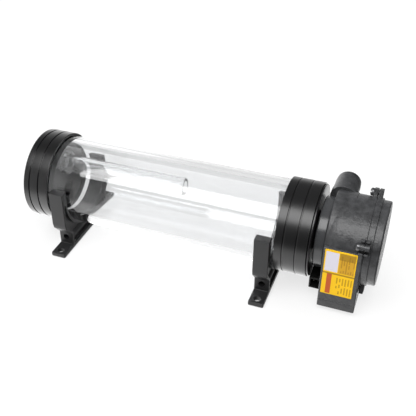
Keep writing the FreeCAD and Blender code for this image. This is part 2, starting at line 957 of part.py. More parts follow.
def make_volute_casing():
    body = new_body("volute_casing")
    face_radius = s.casing_face_od / 2
    revolve(
        body,
        "shell",
        [
            (casing_start, 0),
            (casing_start, face_radius),
            (casing_start + s.casing_shoulder, casing_radius),
            (casing_end, casing_radius),
            (casing_end, 0),
        ],
        arcs={1: (s.casing_shoulder_radius, 1)},
    )
    block(
        body,
        "terminal_box",
        (box_start, -s.box_front, -s.box_bottom),
        (box_end, s.box_back, -casing_radius / 2),
    )
    block(
        body,
        "plate_pad",
        (box_start, -s.box_front, -s.box_bottom),
        (box_end, -s.box_front / 2, s.box_pad_top),
    )
    screw_ears(body, casing_ear_start, s.casing_ear)
    # The spiral chamber swells the shell towards the outlet
    cylinder(
        body,
        "volute_swell",
        s.swell_od,
        s.swell_length,
        (casing_start, s.swell_back, s.swell_up),
    )
    # Outlet along Y, with a slight collar at its root and a thinner land at its end
    for name, diameter, reach in (
        ("outlet_land", s.outlet_od - s.outlet_land_step * 2, s.outlet_reach),
        ("outlet_spigot", s.outlet_od, s.outlet_reach - s.outlet_land),
        ("outlet_collar", s.outlet_od + s.outlet_collar * 2, s.outlet_collar_reach),
    ):
        outlet_at = (outlet_x, s.outlet_root, s.outlet_rise)
        cylinder(body, name, diameter, reach - s.outlet_root, outlet_at, ALONG_Y)
    # Room for the suction cover beside the outlet
    revolve(
        body,
        "cover_room",
        ring_points(
            cover_start - s.outlet_od,
            casing_start,
            0,
            s.cover_od / 2 + s.seat_clearance,
        ),
        remove=True,
    )
    # Water side
    cylinder(
        body, "register", s.register_bore, s.cover_register, (casing_start, 0, 0), remove=True
    )
    cylinder(
        body, "chamber", s.chamber_bore, s.chamber_depth, (chamber_start, 0, 0), remove=True
    )
    cylinder(
        body,
        "throat",
        s.throat_bore,
        s.throat_reach,
        (throat_x, 0, s.throat_rise),
        ALONG_Y,
        remove=True,
    )
    bore_start = s.throat_reach - s.cap_edge
    cylinder(
        body,
        "outlet_bore",
        s.outlet_bore,
        s.outlet_reach - bore_start,
        (outlet_x, bore_start, s.outlet_rise),
        ALONG_Y,
        remove=True,
    )
    # Dry side
    cylinder(
        body,
        "can_hole",
        (can_outer + s.seat_clearance) * 2,
        s.casing_web,
        (chamber_end, 0, 0),
        remove=True,
    )
    cylinder(
        body,
        "stator_room",
        s.stator_bore,
        casing_end - stator_start,
        (stator_start, 0, 0),
        remove=True,
    )
    cylinder(
        body, "board_room", s.board_bore, s.board_seat, (board_start, 0, 0), remove=True
    )
    block(
        body,
        "terminal_bay",
        (bay_start, -s.box_bay_front, -s.box_bottom),
        (bay_end, s.box_bay_back, -s.box_bay_top),
        remove=True,
    )
    block(
        body,
        "wire_slot",
        (core_end - s.box_wall, -s.box_bay_front, -s.box_bay_top),
        (bay_end, s.box_bay_back, -s.stator_bore / 2 + s.box_wall),
        remove=True,
    )
    block(
        body,
        "pin_slot",
        (box_start, -s.box_bay_front, -pin_low - s.pin_size),
        (bay_start, -s.box_bay_front + s.pin_pitch * 2, -pin_high + s.pin_size),
        remove=True,
    )
    block(
        body,
        "connector_notch",
        (casing_start, -s.connector_front - s.seat_clearance, -s.connector_bottom),
        (box_start, connector_back + s.seat_clearance, -s.connector_top + s.seat_clearance),
        remove=True,
    )
    # Screw holes in the ears, and a tunnel for the one whose head is inside the box
    ear_y, ear_z = turned(-s.ear_radius, 0)
    cylinder(
        body,
        "head_tunnel",
        s.screw_head_od + s.running_clearance * 4,
        casing_ear_start - casing_start,
        (casing_start, -ear_z, ear_y),
        remove=True,
    )
    hole = cylinder(
        body,
        "ear_hole",
        s.screw_thread + s.running_clearance * 2,
        s.casing_ear,
        (casing_ear_start, ear_y, ear_z),
        remove=True,
    )
    polar_copies(body, "ear_holes", [hole], 4)
    for i, (x, y) in enumerate(cover_screw_places(), start=1):
        cylinder(
            body,
            f"cover_screw_hole_{i}",
            s.cover_screw_thread + s.running_clearance * 2,
            s.cover_screw_length - s.box_cover + s.cover_screw_head + 1,
            (x, y, -s.box_bottom),
            ALONG_Z,
            remove=True,
        )


def make_rear_cover():
    body = new_body("rear_cover")
    rear_radius = s.rear_od / 2
    revolve(
        body,
        "turned_shape",
        [
            (casing_end, s.rear_bore / 2),
            (casing_end, casing_radius),
            (flange_end, casing_radius),
            (flange_end, rear_radius),
            (rear_end, rear_radius),
            (rear_end, 0),
            (rear_end - s.rear_wall, 0),
            (rear_end - s.rear_wall, s.rear_bore / 2),
        ],
    )
    bevel(body, "rear_edge", s.rear_edge, lambda edge: circle_at(edge, rear_end, rear_radius))
    screw_ears(body, casing_end, s.rear_ear)
    revolve(
        body,
        "gasket_groove",
        ring_points(
            casing_end,
            casing_end + s.gasket_thickness,
            s.gasket_inner / 2,
            s.gasket_outer / 2,
        ),
        remove=True,
    )
    hole = cylinder(
        body,
        "ear_hole",
        s.screw_thread + s.running_clearance * 2,
        s.screw_length - s.casing_ear,
        (casing_end, *turned(-s.ear_radius, 0)),
        remove=True,
    )
    polar_copies(body, "ear_holes", [hole], 4)


def make_rear_cover_gasket():
    body = new_body("rear_cover_gasket")
    revolve(
        body,
        "ring",
        ring_points(
            casing_end,
            casing_end + s.gasket_thickness,
            s.gasket_inner / 2 + s.seat_clearance,
            s.gasket_outer / 2 - s.seat_clearance,
        ),
    )


def make_cover_screws():
    """Pan-head screws through the ears, each with a slot across its head."""
    body = new_body("cover_screws", separate_solids=True)
    head_start = casing_ear_start - s.screw_head
    y, z = turned(-s.ear_radius, 0)
    for i, (y, z) in enumerate(((y, z), (-z, y), (-y, -z), (z, -y)), start=1):
        cylinder(body, f"head_{i}", s.screw_head_od, s.screw_head, (head_start, y, z))
        cylinder(body, f"shank_{i}", s.screw_thread, s.screw_length, (casing_ear_start, y, z))
        block(
            body,
            f"slot_{i}",
            (head_start, y - s.screw_slot / 2, z - s.screw_head_od / 2),
            (head_start + s.screw_slot, y + s.screw_slot / 2, z + s.screw_head_od / 2),
            remove=True,
        )


# Rotor on a fixed shaft, inside the can
can_flange_start = chamber_end - s.can_flange
can_floor = chamber_end + s.can_length
can_outside = can_floor + s.can_end
boss_face = can_floor - s.can_boss
shaft_start = cover_register_end - s.shaft_hub + s.shaft_front
shaft_end = can_outside - s.can_end / 2
impeller_start = chamber_start + s.impeller_front
impeller_disc_start = impeller_start + s.impeller_depth
impeller_end = impeller_disc_start + s.impeller_disc
magnet_start = chamber_end + s.magnet_start - s.can_flange
magnet_end = magnet_start + s.magnet_length
rear_washer_start = boss_face - s.washer
bush_start = impeller_start
bush_end = rear_washer_start - s.seat_clearance


def make_rotor_can():
    body = new_body("rotor_can")
    bore = s.can_bore / 2
    revolve(
        body,
        "cup",
        [
            (can_flange_start, bore),
            (can_flange_start, s.can_flange_od / 2),
            (chamber_end, s.can_flange_od / 2),
            (chamber_end, can_outer),
            (can_outside, can_outer),
            (can_outside, 0),
            (can_floor, 0),
            (can_floor, bore),
        ],
    )
    half = s.can_seal_section / 2
    revolve(
        body,
        "seal_groove",
        ring_points(
            chamber_end - half,
            chamber_end,
            s.can_seal_radius - half - s.seat_clearance,
            s.can_seal_radius + half + s.seat_clearance,
        ),
        remove=True,
    )
    cylinder(body, "shaft_boss", s.can_boss_od, s.can_boss, (boss_face, 0, 0))
    cylinder(
        body,
        "shaft_socket",
        s.shaft_od + s.seal_clearance * 2,
        shaft_end - boss_face,
        (boss_face, 0, 0),
        remove=True,
    )


def make_can_seal():
    """A flat ring under the can's flange."""
    body = new_body("can_seal")
    half = s.can_seal_section / 2
    revolve(
        body,
        "ring",
        ring_points(
            chamber_end - half + s.seal_clearance,
            chamber_end,
            s.can_seal_radius - half,
            s.can_seal_radius + half,
        ),
    )


def make_pump_shaft():
    body = new_body("pump_shaft")
    cylinder(body, "pin", s.shaft_od, shaft_end - shaft_start, (shaft_start, 0, 0))


def make_thrust_washers():
    """One washer at each end of the rotor's bush."""
    body = new_body("thrust_washers", separate_solids=True)
    bore = s.shaft_od / 2 + s.seal_clearance
    front = bush_start - s.seat_clearance - s.washer
    for name, start in (("front_washer", front), ("rear_washer", rear_washer_start)):
        revolve(body, name, ring_points(start, start + s.washer, bore, s.washer_od / 2))


def make_impeller():
    """An open impeller: hub, back disc and swept vanes."""
    body = new_body("impeller")
    bore = s.bush_od / 2
    hub = s.impeller_hub_od / 2
    revolve(
        body,
        "hub_and_disc",
        [
            (impeller_start, bore),
            (impeller_start, hub),
            (impeller_disc_start, hub),
            (impeller_disc_start, s.impeller_od / 2),
            (impeller_end, s.impeller_od / 2),
            (impeller_end, hub),
            (magnet_end, hub),
            (magnet_end, bore),
        ],
    )
    vane = body.newObject("PartDesign::AdditiveBox", "vane")
    bind(vane, "Length", s.impeller_depth)
    bind(vane, "Width", s.vane_thickness)
    bind(vane, "Height", s.impeller_od / 2 - s.vane_root - s.vane_tip_gap)
    place(vane, (impeller_start, s.vane_offset, s.vane_rise), FreeCAD.Rotation(V(1, 0, 0), 22))
    bind(vane, ".Placement.Rotation.Angle", s.vane_sweep)
    polar_copies(body, "vanes", [vane], s.vane_count)


def make_rotor_magnet():
    body = new_body("rotor_magnet")
    hub = s.impeller_hub_od / 2
    revolve(body, "ring", ring_points(magnet_start, magnet_end, hub, s.magnet_od / 2))


def make_rotor_bush():
    body = new_body("rotor_bush")
    bore = s.shaft_od / 2 + s.running_clearance
    revolve(body, "sleeve", ring_points(bush_start, bush_end, bore, s.bush_od / 2))


# Stator round the can
core_start = stator_start + s.core_start
core_end = core_start + s.core_length
core_outer = s.stator_bore / 2 - s.seal_clearance
core_bore = can_outer + s.core_clearance
yoke_inner = core_outer - s.core_yoke
tip_outer = core_bore + s.tooth_tip


def make_stator_core():
    body = new_body("stator_core")
    revolve(body, "yoke", ring_points(core_start, core_end, yoke_inner, core_outer))
    tooth = block(
        body,
        "tooth",
        (core_start, -s.tooth_width / 2, core_bore),
        (core_end, s.tooth_width / 2, yoke_inner + 1),
    )
    tip = block(
        body,
        "tooth_tip",
        (core_start, -s.tooth_tip_width / 2, core_bore),
        (core_end, s.tooth_tip_width / 2, tip_outer),
    )
    polar_copies(body, "teeth", [tooth, tip], s.tooth_count)
    cylinder(
        body, "bore", core_bore * 2, s.core_length, (core_start, 0, 0), remove=True
    )


def make_stator_coils():
    """One winding round each tooth."""
    body = new_body("stator_coils", separate_solids=True)
    build = s.coil_build
    half = s.tooth_width / 2
    low, high = tip_outer, yoke_inner - s.coil_space
    outer = block(
        body,
        "winding",
        (core_start - build, -half - build, low),
        (core_end + build, half + build, high),
    )
    window = block(
        body,
        "window",
        (core_start, -half, low),
        (core_end, half, high),
        remove=True,
    )
    polar_copies(body, "windings", [outer, window], s.tooth_count)


# Electronics
board_radius = s.board_bore / 2 - s.seal_clearance


def make_control_board():
    body = new_body("control_board")
    inner = s.board_bore_centre / 2
    revolve(body, "board", ring_points(board_start, casing_end, inner, board_radius))


def make_board_components():
    """Capacitor, driver chip and three power switches on the board's rear face."""
    body = new_body("board_components", separate_solids=True)
    chip = s.driver_chip
    cylinder(
        body,
        "capacitor",
        s.capacitor_od,
        s.capacitor_length,
        (casing_end, 0, -s.board_bore_centre - chip),
    )
    block(
        body,
        "driver_chip",
        (casing_end, -chip / 2, s.board_bore_centre),
        (casing_end + s.chip_thickness, chip / 2, s.board_bore_centre + chip),
    )
    for i in range(3):
        low_z = s.switch_pitch * i - s.switch_drop
        block(
            body,
            f"power_switch_{i + 1}",
            (casing_end, s.switch_from_axis, low_z),
            (
                casing_end + s.chip_thickness,
                s.switch_from_axis + s.switch_width,
                low_z + s.switch_height,
            ),
        )


# Terminal box cover and its screws
def cover_screw_places():
    inset = s.cover_screw_inset + s.box_wall / 2
    for x in (box_start + inset, box_end - inset):
        for y in (-s.box_front + inset, s.box_back - inset):
            yield x, y


def make_terminal_cover():
    body = new_body("terminal_cover")
    bottom = -s.box_bottom - s.box_cover
    block(
        body,
        "tray",
        (box_start, -s.box_front, bottom),
        (box_end, s.box_back, -s.box_bottom),
    )
    bevel(
        body,
        "lower_edges",
        s.box_cover_edge,
        lambda edge: abs(edge.BoundBox.ZMax - bottom.value) < 1e-4,
    )
    wall = s.box_cover_wall
    block(
        body,
        "hollow",
        (box_start + wall, -s.box_front + wall, bottom + s.box_cover_floor),
        (box_end - wall, s.box_back - wall, -s.box_bottom),
        remove=True,
    )
    for i, (x, y) in enumerate(cover_screw_places(), start=1):
        cylinder(
            body, f"post_{i}", s.cover_post_od, s.box_cover - s.box_cover_floor,
            (x, y, bottom + s.box_cover_floor), ALONG_Z,
        )
        cylinder(
            body,
            f"screw_hole_{i}",
            s.cover_screw_thread + s.running_clearance * 2,
            s.box_cover,
            (x, y, bottom),
            ALONG_Z,
            remove=True,
        )
        cylinder(
            body,
            f"head_recess_{i}",
            s.cover_screw_head_od + s.running_clearance * 4,
            s.cover_screw_head,
            (x, y, bottom),
            ALONG_Z,
            remove=True,
        )


def make_terminal_cover_screws():
    body = new_body("terminal_cover_screws", separate_solids=True)
    bottom = -s.box_bottom - s.box_cover
    for i, (x, y) in enumerate(cover_screw_places(), start=1):
        cylinder(
            body,
            f"head_{i}",
            s.cover_screw_head_od,
            s.cover_screw_head,
            (x, y, bottom),
            ALONG_Z,
        )
        cylinder(
            body,
            f"shank_{i}",
            s.cover_screw_thread,
            s.cover_screw_length,
            (x, y, bottom + s.cover_screw_head),
            ALONG_Z,
        )


def make_rating_plate():
    body = new_body("rating_plate")
    start = box_start + s.plate_from_box
    block(
        body,
        "plate",
        (start, -s.box_front - s.plate_thickness, -s.plate_bottom),
        (start + s.plate_width, -s.box_front, s.plate_top),
    )


# Connector beside the terminal box, open to the front
connector_start = box_start - s.connector_length
connector_middle = connector_start + s.connector_length / 2
pin_centre = (s.connector_top + s.connector_bottom) / 2
pin_high = pin_centre - s.pin_pitch / 2
pin_low = pin_centre + s.pin_pitch / 2


def make_connector_housing():
    body = new_body("connector_housing")
    wall = s.connector_wall
    block(
        body,
        "shell",
        (connector_start, -s.connector_front, -s.connector_bottom),
        (box_start, connector_back, -s.connector_top),
    )
    block(
        body,
        "socket",
        (connector_start + wall, -s.connector_front, -s.connector_bottom + wall),
        (box_start - wall, -s.connector_front + s.socket_depth, -s.connector_top - wall),
        remove=True,
    )
    for name, x, y, z in pin_places():
        pin_gap = s.pin_size / 2 + s.seal_clearance
        block(
            body,
            f"{name}_hole",
            (x - pin_gap, -s.connector_front + s.socket_depth, z - pin_gap),
            (x + pin_gap, y + pin_gap, z + pin_gap),
            remove=True,
        )
        block(
            body,
            f"{name}_tail_hole",
            (x - pin_gap, y - pin_gap, z - pin_gap),
            (box_start, y + pin_gap, z + pin_gap),
            remove=True,
        )


def pin_places():
    """Each pin's name, its x, the y where it turns towards the box, and its z."""
    near_turn = -s.box_bay_front + s.pin_size
    inner, outer = connector_middle + s.pin_pitch / 2, connector_middle - s.pin_pitch / 2
    yield "upper_inner", inner, near_turn, -pin_high
    yield "lower_inner", inner, near_turn + s.pin_pitch / 2, -pin_low
    yield "upper_outer", outer, near_turn + s.pin_pitch, -pin_high
    yield "lower_outer", outer, near_turn + s.pin_pitch * 1.5, -pin_low


def make_connector_pins():
    body = new_body("connector_pins", separate_solids=True)
    half = s.pin_size / 2
    tip = -s.connector_front + s.pin_recess
    tail = bay_start + s.pin_tail
    for name, x, turn, z in pin_places():
        block(body, name, (x - half, tip, z - half), (x + half, turn + half, z + half))
        block(
            body,
            f"{name}_tail",
            (x - half, turn - half, z - half),
            (tail, turn + half, z + half),
        )


def rod(body, name, axis, start, length, diameter):
    """A thin rod along X or Z with a round end where it turns."""
    rotation = ALONG_X if axis == "X" else ALONG_Z
    cylinder(body, name, diameter, length, start, rotation)


def ball(body, name, diameter, at):
    feature = body.newObject("PartDesign::AdditiveSphere", name)
    bind(feature, "Radius", as_size(diameter) / 2)
    place(feature, at)


def make_lead_wires():
    """From each pin's tail along the terminal bay, up past the core and into the board."""
    body = new_body("lead_wires", separate_solids=True)
    wire = s.lead_od
    tail = bay_start + s.pin_tail
    turn_x = (core_end + bay_end) / 2
    board_z = -s.stator_bore / 2 + s.box_wall + wire
    for name, _, y, z in pin_places():
        rod(body, f"{name}_bay", "X", (tail, y, z), turn_x - tail, wire)
        ball(body, f"{name}_lower_bend", wire, (turn_x, y, z))
        rod(body, f"{name}_rise", "Z", (turn_x, y, z), board_z - z, wire)
        ball(body, f"{name}_upper_bend", wire, (turn_x, y, board_z))
        rod(body, f"{name}_board", "X", (turn_x, y, board_z), board_start - turn_x, wire)


make_reservoir_tube()
make_end_cap()
seal_pair("end_cap_seals", cap_seals)
make_standpipe()
make_standpipe_fitting()
make_fill_plug()
single_seal(
    "fill_plug_seal",
    fill_seal_radius,
    s.fill_plug_seal_section,
    (fill_seal_x, 0, -s.port_offset),
)
make_pump_adapter()
seal_pair("adapter_seals", adapter_seals)
for clip_label, clip_start in clip_starts.items():
    make_bracket(clip_label, clip_start)
make_suction_cover()
single_seal(
    "neck_seal",
    neck_socket_radius - s.neck_seal_section / 2,
    s.neck_seal_section,
    (neck_seal_x, 0, 0),
)
single_seal(
    "casing_seal",
    s.register_bore / 2 - s.neck_seal_section / 2,
    s.neck_seal_section,
    (casing_seal_x, 0, 0),
)
make_volute_casing()
make_rear_cover()
make_rear_cover_gasket()
make_cover_screws()
make_rotor_can()
make_can_seal()
make_pump_shaft()
make_thrust_washers()
make_impeller()
make_rotor_magnet()
make_rotor_bush()
make_stator_core()
make_stator_coils()
make_control_board()
make_board_components()
make_terminal_cover()
make_terminal_cover_screws()
make_rating_plate()
make_connector_housing()
make_connector_pins()
make_lead_wires()
doc.recompute()

for thing in doc.Objects:
    if "Invalid" in thing.State or "Error" in thing.State:
        raise RuntimeError(f"{thing.Label} did not build: {thing.State}")
for piece in parts:
    if piece.Shape.isNull() or not piece.Shape.isValid():
        raise RuntimeError(f"{piece.Label} has no valid shape")

os.makedirs("parts", exist_ok=True)
for piece in parts:
    piece.Shape.exportStep(f"parts/{piece.Label}.step")
    box = piece.Shape.BoundBox
    print(f"{piece.Label}: {len(piece.Shape.Solids)} solids, {piece.Shape.Volume:.1f} mm3, "
          f"x {box.XMin:.2f} {box.XMax:.2f}, y {box.YMin:.2f} {box.YMax:.2f}, "
          f"z {box.ZMin:.2f} {box.ZMax:.2f}")
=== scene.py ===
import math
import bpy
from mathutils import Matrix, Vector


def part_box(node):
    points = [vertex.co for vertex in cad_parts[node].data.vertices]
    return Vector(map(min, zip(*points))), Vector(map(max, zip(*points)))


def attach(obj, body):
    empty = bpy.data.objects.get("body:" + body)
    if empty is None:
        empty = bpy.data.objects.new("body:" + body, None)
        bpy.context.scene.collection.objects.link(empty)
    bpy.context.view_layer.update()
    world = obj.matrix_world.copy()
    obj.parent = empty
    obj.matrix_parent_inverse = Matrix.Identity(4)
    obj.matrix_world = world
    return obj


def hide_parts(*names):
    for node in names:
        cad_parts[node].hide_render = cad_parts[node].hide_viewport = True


bl_info = {
    "name": "Coolant pump reservoir",
    "version": (1, 0, 0),
    "blender": (4, 5, 0),
    "location": "3D View > Sidebar > Reservoir",
    "description": "The visible pieces, finishes, light and camera of a coolant pump reservoir",
    "category": "Object",
}

import bmesh
import bpy
from bpy.props import FloatProperty, FloatVectorProperty, IntProperty
from mathutils import Matrix, Vector

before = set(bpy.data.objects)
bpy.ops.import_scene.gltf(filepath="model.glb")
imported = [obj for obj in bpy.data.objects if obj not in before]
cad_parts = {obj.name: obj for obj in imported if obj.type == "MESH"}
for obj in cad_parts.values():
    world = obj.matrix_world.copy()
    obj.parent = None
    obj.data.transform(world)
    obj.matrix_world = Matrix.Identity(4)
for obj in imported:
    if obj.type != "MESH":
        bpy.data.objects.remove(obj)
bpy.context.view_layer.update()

MM = 0.001
ALONG_X = Vector((1, 0, 0))
ALONG_Y = Vector((0, 1, 0))
ALONG_Z = Vector((0, 0, 1))

# Places taken from the frame
TUBE_LOW, TUBE_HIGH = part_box("reservoir_tube")
AXIS = Vector((0, 0, 42.2 * MM))
TUBE_RADIUS = (TUBE_HIGH.z - TUBE_LOW.z) / 2
TUBE_WALL = 5 * MM
TUBE_BORE = TUBE_RADIUS - TUBE_WALL
CAP_LOW, CAP_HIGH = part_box("end_cap")
CAP_RADIUS = (CAP_HIGH.z - CAP_LOW.z) / 2
ADAPTER_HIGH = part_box("pump_adapter")[1]
COVER_LOW, COVER_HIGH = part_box("suction_cover")
COVER_RADIUS = (COVER_HIGH.z - COVER_LOW.z) / 2
REAR_LOW, REAR_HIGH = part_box("rear_cover")
PIPE_LOW, PIPE_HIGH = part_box("standpipe")
PIPE_RADIUS = (PIPE_HIGH.z - PIPE_LOW.z) / 2
PORT_RISE = (PIPE_LOW.z + PIPE_HIGH.z) / 2 - AXIS.z
BOX_LOW, BOX_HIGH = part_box("terminal_cover")
PLATE_LOW, PLATE_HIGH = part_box("rating_plate")

# Fits and seats between the pieces
SEAT_GAP = 0.1 * MM
PORT_RADIUS = 5.85 * MM
WATERWAY_RADIUS = 4 * MM
REGISTER_DEPTH = 3 * MM
REGISTER_RADIUS = 21.05 * MM
SUCTION_RADIUS = 7 * MM
NECK_RADIUS = 13 * MM
CASING_START = COVER_HIGH.x - REGISTER_DEPTH
CASING_END = REAR_LOW.x
CASING_RADIUS = 29 * MM
INSIDE_SHELL = CASING_RADIUS - 3 * MM
EAR_RADIUS = 31.8 * MM
EAR_ANGLES = [math.radians(28 + quarter * 90) for quarter in range(4)]
CASING_EAR = 3.4 * MM
REAR_EAR = 2.7 * MM
SCREW_RADIUS = 1.5 * MM
ADAPTER_SKIRT = TUBE_HIGH.x - 12 * MM
PLUG_RADIUS = TUBE_BORE - SEAT_GAP
PLUG_DEPTH = 11 * MM
SKIRT_RADIUS = TUBE_RADIUS + SEAT_GAP

# Grooves, as distances from the start of a band and from the end of the tube
CAP_GROOVES = (4.4 * MM, 11.2 * MM)
ADAPTER_GROOVES = (5.8 * MM, 14.3 * MM)
SEAL_PLACES = (3 * MM, 7 * MM)

# Outline of the clips: distances from the middle plane, the foot's height and the walls
CLIP_OUTER = 35 * MM
CLIP_NECK = 27.9 * MM
CLIP_FOOT_OUTER = 41.3 * MM
CLIP_FOOT = 3.1 * MM
CLIP_WALL = 1.9 * MM

# How far a cutting tool reaches past what it cuts, and how long the casing's front ones are
MARGIN = 1 * MM
FRONT_TOOL = 20 * MM

# Limits for merging vertices and for picking edges
MERGE_DISTANCE = 0.001 * MM
NEARLY_PARALLEL = 0.999


def length_setting(name, description, default):
    return FloatProperty(name=name, description=description, default=default, unit="LENGTH")


def angle_setting(name, description, degrees):
    turn = math.radians(degrees)
    return FloatProperty(name=name, description=description, default=turn, subtype="ANGLE")


def colour_setting(name, description, default):
    return FloatVectorProperty(
        name=name, description=description, default=default, subtype="COLOR", min=0, max=1
    )


class ReservoirSizes(bpy.types.PropertyGroup):
    """Sizes of the turned pieces, the tube and the clips."""

    facets: IntProperty(
        name="Facets",
        description="Facets round the large turned pieces",
        default=192,
        min=48,
    )
    tube_edge: length_setting("Tube edge", "Rounding on the tube's four rims", 0.4 * MM)
    turned_edge: length_setting(
        "Turned edge",
        "Rounding on the edges of the black end pieces",
        0.45 * MM,
    )
    groove_width: length_setting(
        "Groove width",
        "Width of the narrow grooves round the end pieces",
        0.9 * MM,
    )
    groove_depth: length_setting(
        "Groove depth",
        "Depth of the narrow grooves round the end pieces",
        0.8 * MM,
    )
    moulded_edge: length_setting(
        "Moulded edge",
        "Rounding on the edges of the moulded clips and covers",
        0.5 * MM,
    )


class PumpSizes(bpy.types.PropertyGroup):
    """Sizes of the pump's visible forms."""

    shoulder: length_setting("Shoulder", "Length of the casing's rounded front shoulder", 8.4 * MM)
    face_radius: length_setting(
        "Face radius",
        "Radius of the casing's front face, where the shoulder starts",
        26.6 * MM,
    )
    outlet_radius: length_setting("Outlet radius", "Outer radius of the outlet spigot", 8.5 * MM)
    outlet_reach: length_setting(
        "Outlet reach",
        "How far the outlet's end is from the middle plane",
        33 * MM,
    )
    outlet_rise: length_setting(
        "Outlet rise",
        "Height of the outlet above the tube's axis",
        20.5 * MM,
    )
    rear_radius: length_setting(
        "Rear radius",
        "Radius of the rear cover behind its flange",
        28 * MM,
    )
    flange: length_setting("Flange", "Length of the rear cover's flange", 3.9 * MM)


class ReservoirColours(bpy.types.PropertyGroup):
    """Base colours of the finishes."""

    black_metal: colour_setting("Black metal", "Anodised end pieces", (0.004, 0.004, 0.0042))
    clip_black: colour_setting("Clip black", "Moulded clips", (0.008, 0.008, 0.0085))
    casing_grey: colour_setting("Casing grey", "Moulded pump casing", (0.025, 0.0255, 0.027))
    cover_grey: colour_setting("Cover grey", "Smooth suction cover", (0.034, 0.035, 0.037))
    sheet_yellow: colour_setting("Sheet yellow", "Ground of the rating plate", (0.72, 0.43, 0.004))
    clear: colour_setting("Clear", "Tint of the clear pieces", (0.845, 0.85, 0.855))


class StudioSettings(bpy.types.PropertyGroup):
    """Camera and light."""

    camera_place: FloatVectorProperty(
        name="Camera place",
        description="Where the camera stands",
        default=(0.1410, -0.3775, 0.3256),
        subtype="TRANSLATION",
        unit="LENGTH",
    )
    camera_turn: angle_setting(
        "Camera turn",
        "How far the camera turns to the left of straight ahead",
        19.85,
    )
    camera_tilt: angle_setting("Camera tilt", "How far the camera looks down", 35.39)
    camera_roll: angle_setting(
        "Camera roll",
        "Turn of the camera about its own line of sight",
        -0.41,
    )
    focal_length: FloatProperty(
        name="Focal length",
        description="In millimetres, on a sensor 36 mm wide",
        default=61.43,
    )
    floor_white: FloatProperty(
        name="Floor white",
        description="How brightly the floor glows, as a light table does",
        default=0.75,
        min=0,
        max=2,
    )


# Modelling steps

def deselect():
    """Leaves edit mode and selects nothing."""
    if bpy.context.mode != "OBJECT":
        bpy.ops.object.mode_set(mode="OBJECT")
    bpy.ops.object.select_all(action="DESELECT")


def only(piece):
    """Makes one object the selected and active one."""
    deselect()
    piece.select_set(True)
    bpy.context.view_layer.objects.active = piece


def settle():
    """Puts the active object's origin at the frame's, with its place in its mesh."""
    bpy.ops.object.transform_apply(location=True, rotation=True, scale=True)
    return bpy.context.object


def start_wire(points):
    """Draws a closed wire: one vertex is placed, and then extruded from point to point."""
    deselect()
    bpy.ops.mesh.primitive_plane_add(size=MM, location=points[0])
    bpy.ops.object.mode_set(mode="EDIT")
    bpy.ops.mesh.merge(type="CENTER")
    for start, end in zip(points, points[1:]):
        step = Vector(end) - Vector(start)
        bpy.ops.mesh.extrude_region_move(TRANSFORM_OT_translate={"value": step})


def close_mesh():
    """Merges doubles, turns all faces outwards and leaves edit mode."""
    bpy.ops.mesh.select_all(action="SELECT")
    bpy.ops.mesh.remove_doubles(threshold=MERGE_DISTANCE)
    bpy.ops.mesh.normals_make_consistent(inside=False)
    bpy.ops.object.mode_set(mode="OBJECT")
    return settle()


def on_axis(x, rise=0):
    """The place at x on the tube's axis, or above it."""
    return Vector((x, AXIS.y, AXIS.z + rise))


def turned(profile, closed=True, centre=AXIS, facets=None):
    """Spins a profile of (x, radius) points about a line along X."""
    steps = facets or bpy.context.scene.reservoir_sizes.facets
    points = [Vector((x, centre.y, centre.z + radius)) for x, radius in profile]
    if closed:
        points.append(points[0])
    start_wire(points)
    bpy.ops.mesh.select_all(action="SELECT")
    bpy.ops.mesh.spin(steps=steps, angle=math.tau, center=centre, axis=ALONG_X)
    return close_mesh()


def prism(outline, push):
    """Fills a closed outline and extrudes it."""
    points = [Vector(point) for point in outline]
    start_wire(points + points[:1])
    bpy.ops.mesh.select_all(action="SELECT")
    bpy.ops.mesh.remove_doubles(threshold=MERGE_DISTANCE)
    bpy.ops.mesh.edge_face_add()
    bpy.ops.mesh.extrude_region_move(TRANSFORM_OT_translate={"value": push})
    return close_mesh()


def block(low, high):
    """A box between two corners."""
    low, high = Vector(low), Vector(high)
    deselect()
    bpy.ops.mesh.primitive_cube_add(size=1, location=(low + high) / 2, scale=high - low)
    return settle()


def rod(start, direction, radius, length, sides=48):
    """A cylinder that starts at a point and runs along a direction."""
    deselect()
    bpy.ops.mesh.primitive_cylinder_add(
        vertices=sides,
        radius=radius,
        depth=length,
        location=Vector(start) + direction * length / 2,
        rotation=direction.to_track_quat("Z", "Y").to_euler(),
    )
    return settle()


def round_edges(piece, width, segments=3, angle=35):
    """Rounds every edge that is sharper than the angle."""
    only(piece)
    bevel = piece.modifiers.new("rounded edges", "BEVEL")
    bevel.width = width
    bevel.segments = segments
    bevel.limit_method = "ANGLE"
    bevel.angle_limit = math.radians(angle)
    bpy.ops.object.modifier_apply(modifier=bevel.name)
    return piece


def round_corners(piece, radius, direction, segments=5):
    """Rounds the edges that run along a direction."""
    only(piece)
    bpy.ops.object.mode_set(mode="EDIT")
    bpy.ops.mesh.select_mode(type="EDGE")
    bpy.ops.mesh.select_all(action="DESELECT")
    mesh = bmesh.from_edit_mesh(piece.data)
    for edge in mesh.edges:
        first, second = (corner.co for corner in edge.verts)
        edge.select_set(abs((second - first).normalized().dot(direction)) > NEARLY_PARALLEL)
    bmesh.update_edit_mesh(piece.data)
    bpy.ops.mesh.bevel(offset=radius, segments=segments, affect="EDGES")
    bpy.ops.object.mode_set(mode="OBJECT")
    return piece


def combine(piece, tool, operation):
    """Applies one boolean step and removes the tool."""
    only(piece)
    step = piece.modifiers.new(operation.lower(), "BOOLEAN")
    step.operation = operation
    step.solver = "EXACT"
    step.object = tool
    bpy.ops.object.modifier_apply(modifier=step.name)
    bpy.data.objects.remove(tool)
    return piece


def add(piece, tool):
    return combine(piece, tool, "UNION")


def cut(piece, tool):
    return combine(piece, tool, "DIFFERENCE")


def turn_in_place(piece, angle):
    """Turns a piece about the tube's axis."""
    only(piece)
    bpy.ops.transform.rotate(value=angle, orient_axis="X", center_override=AXIS)
    return settle()


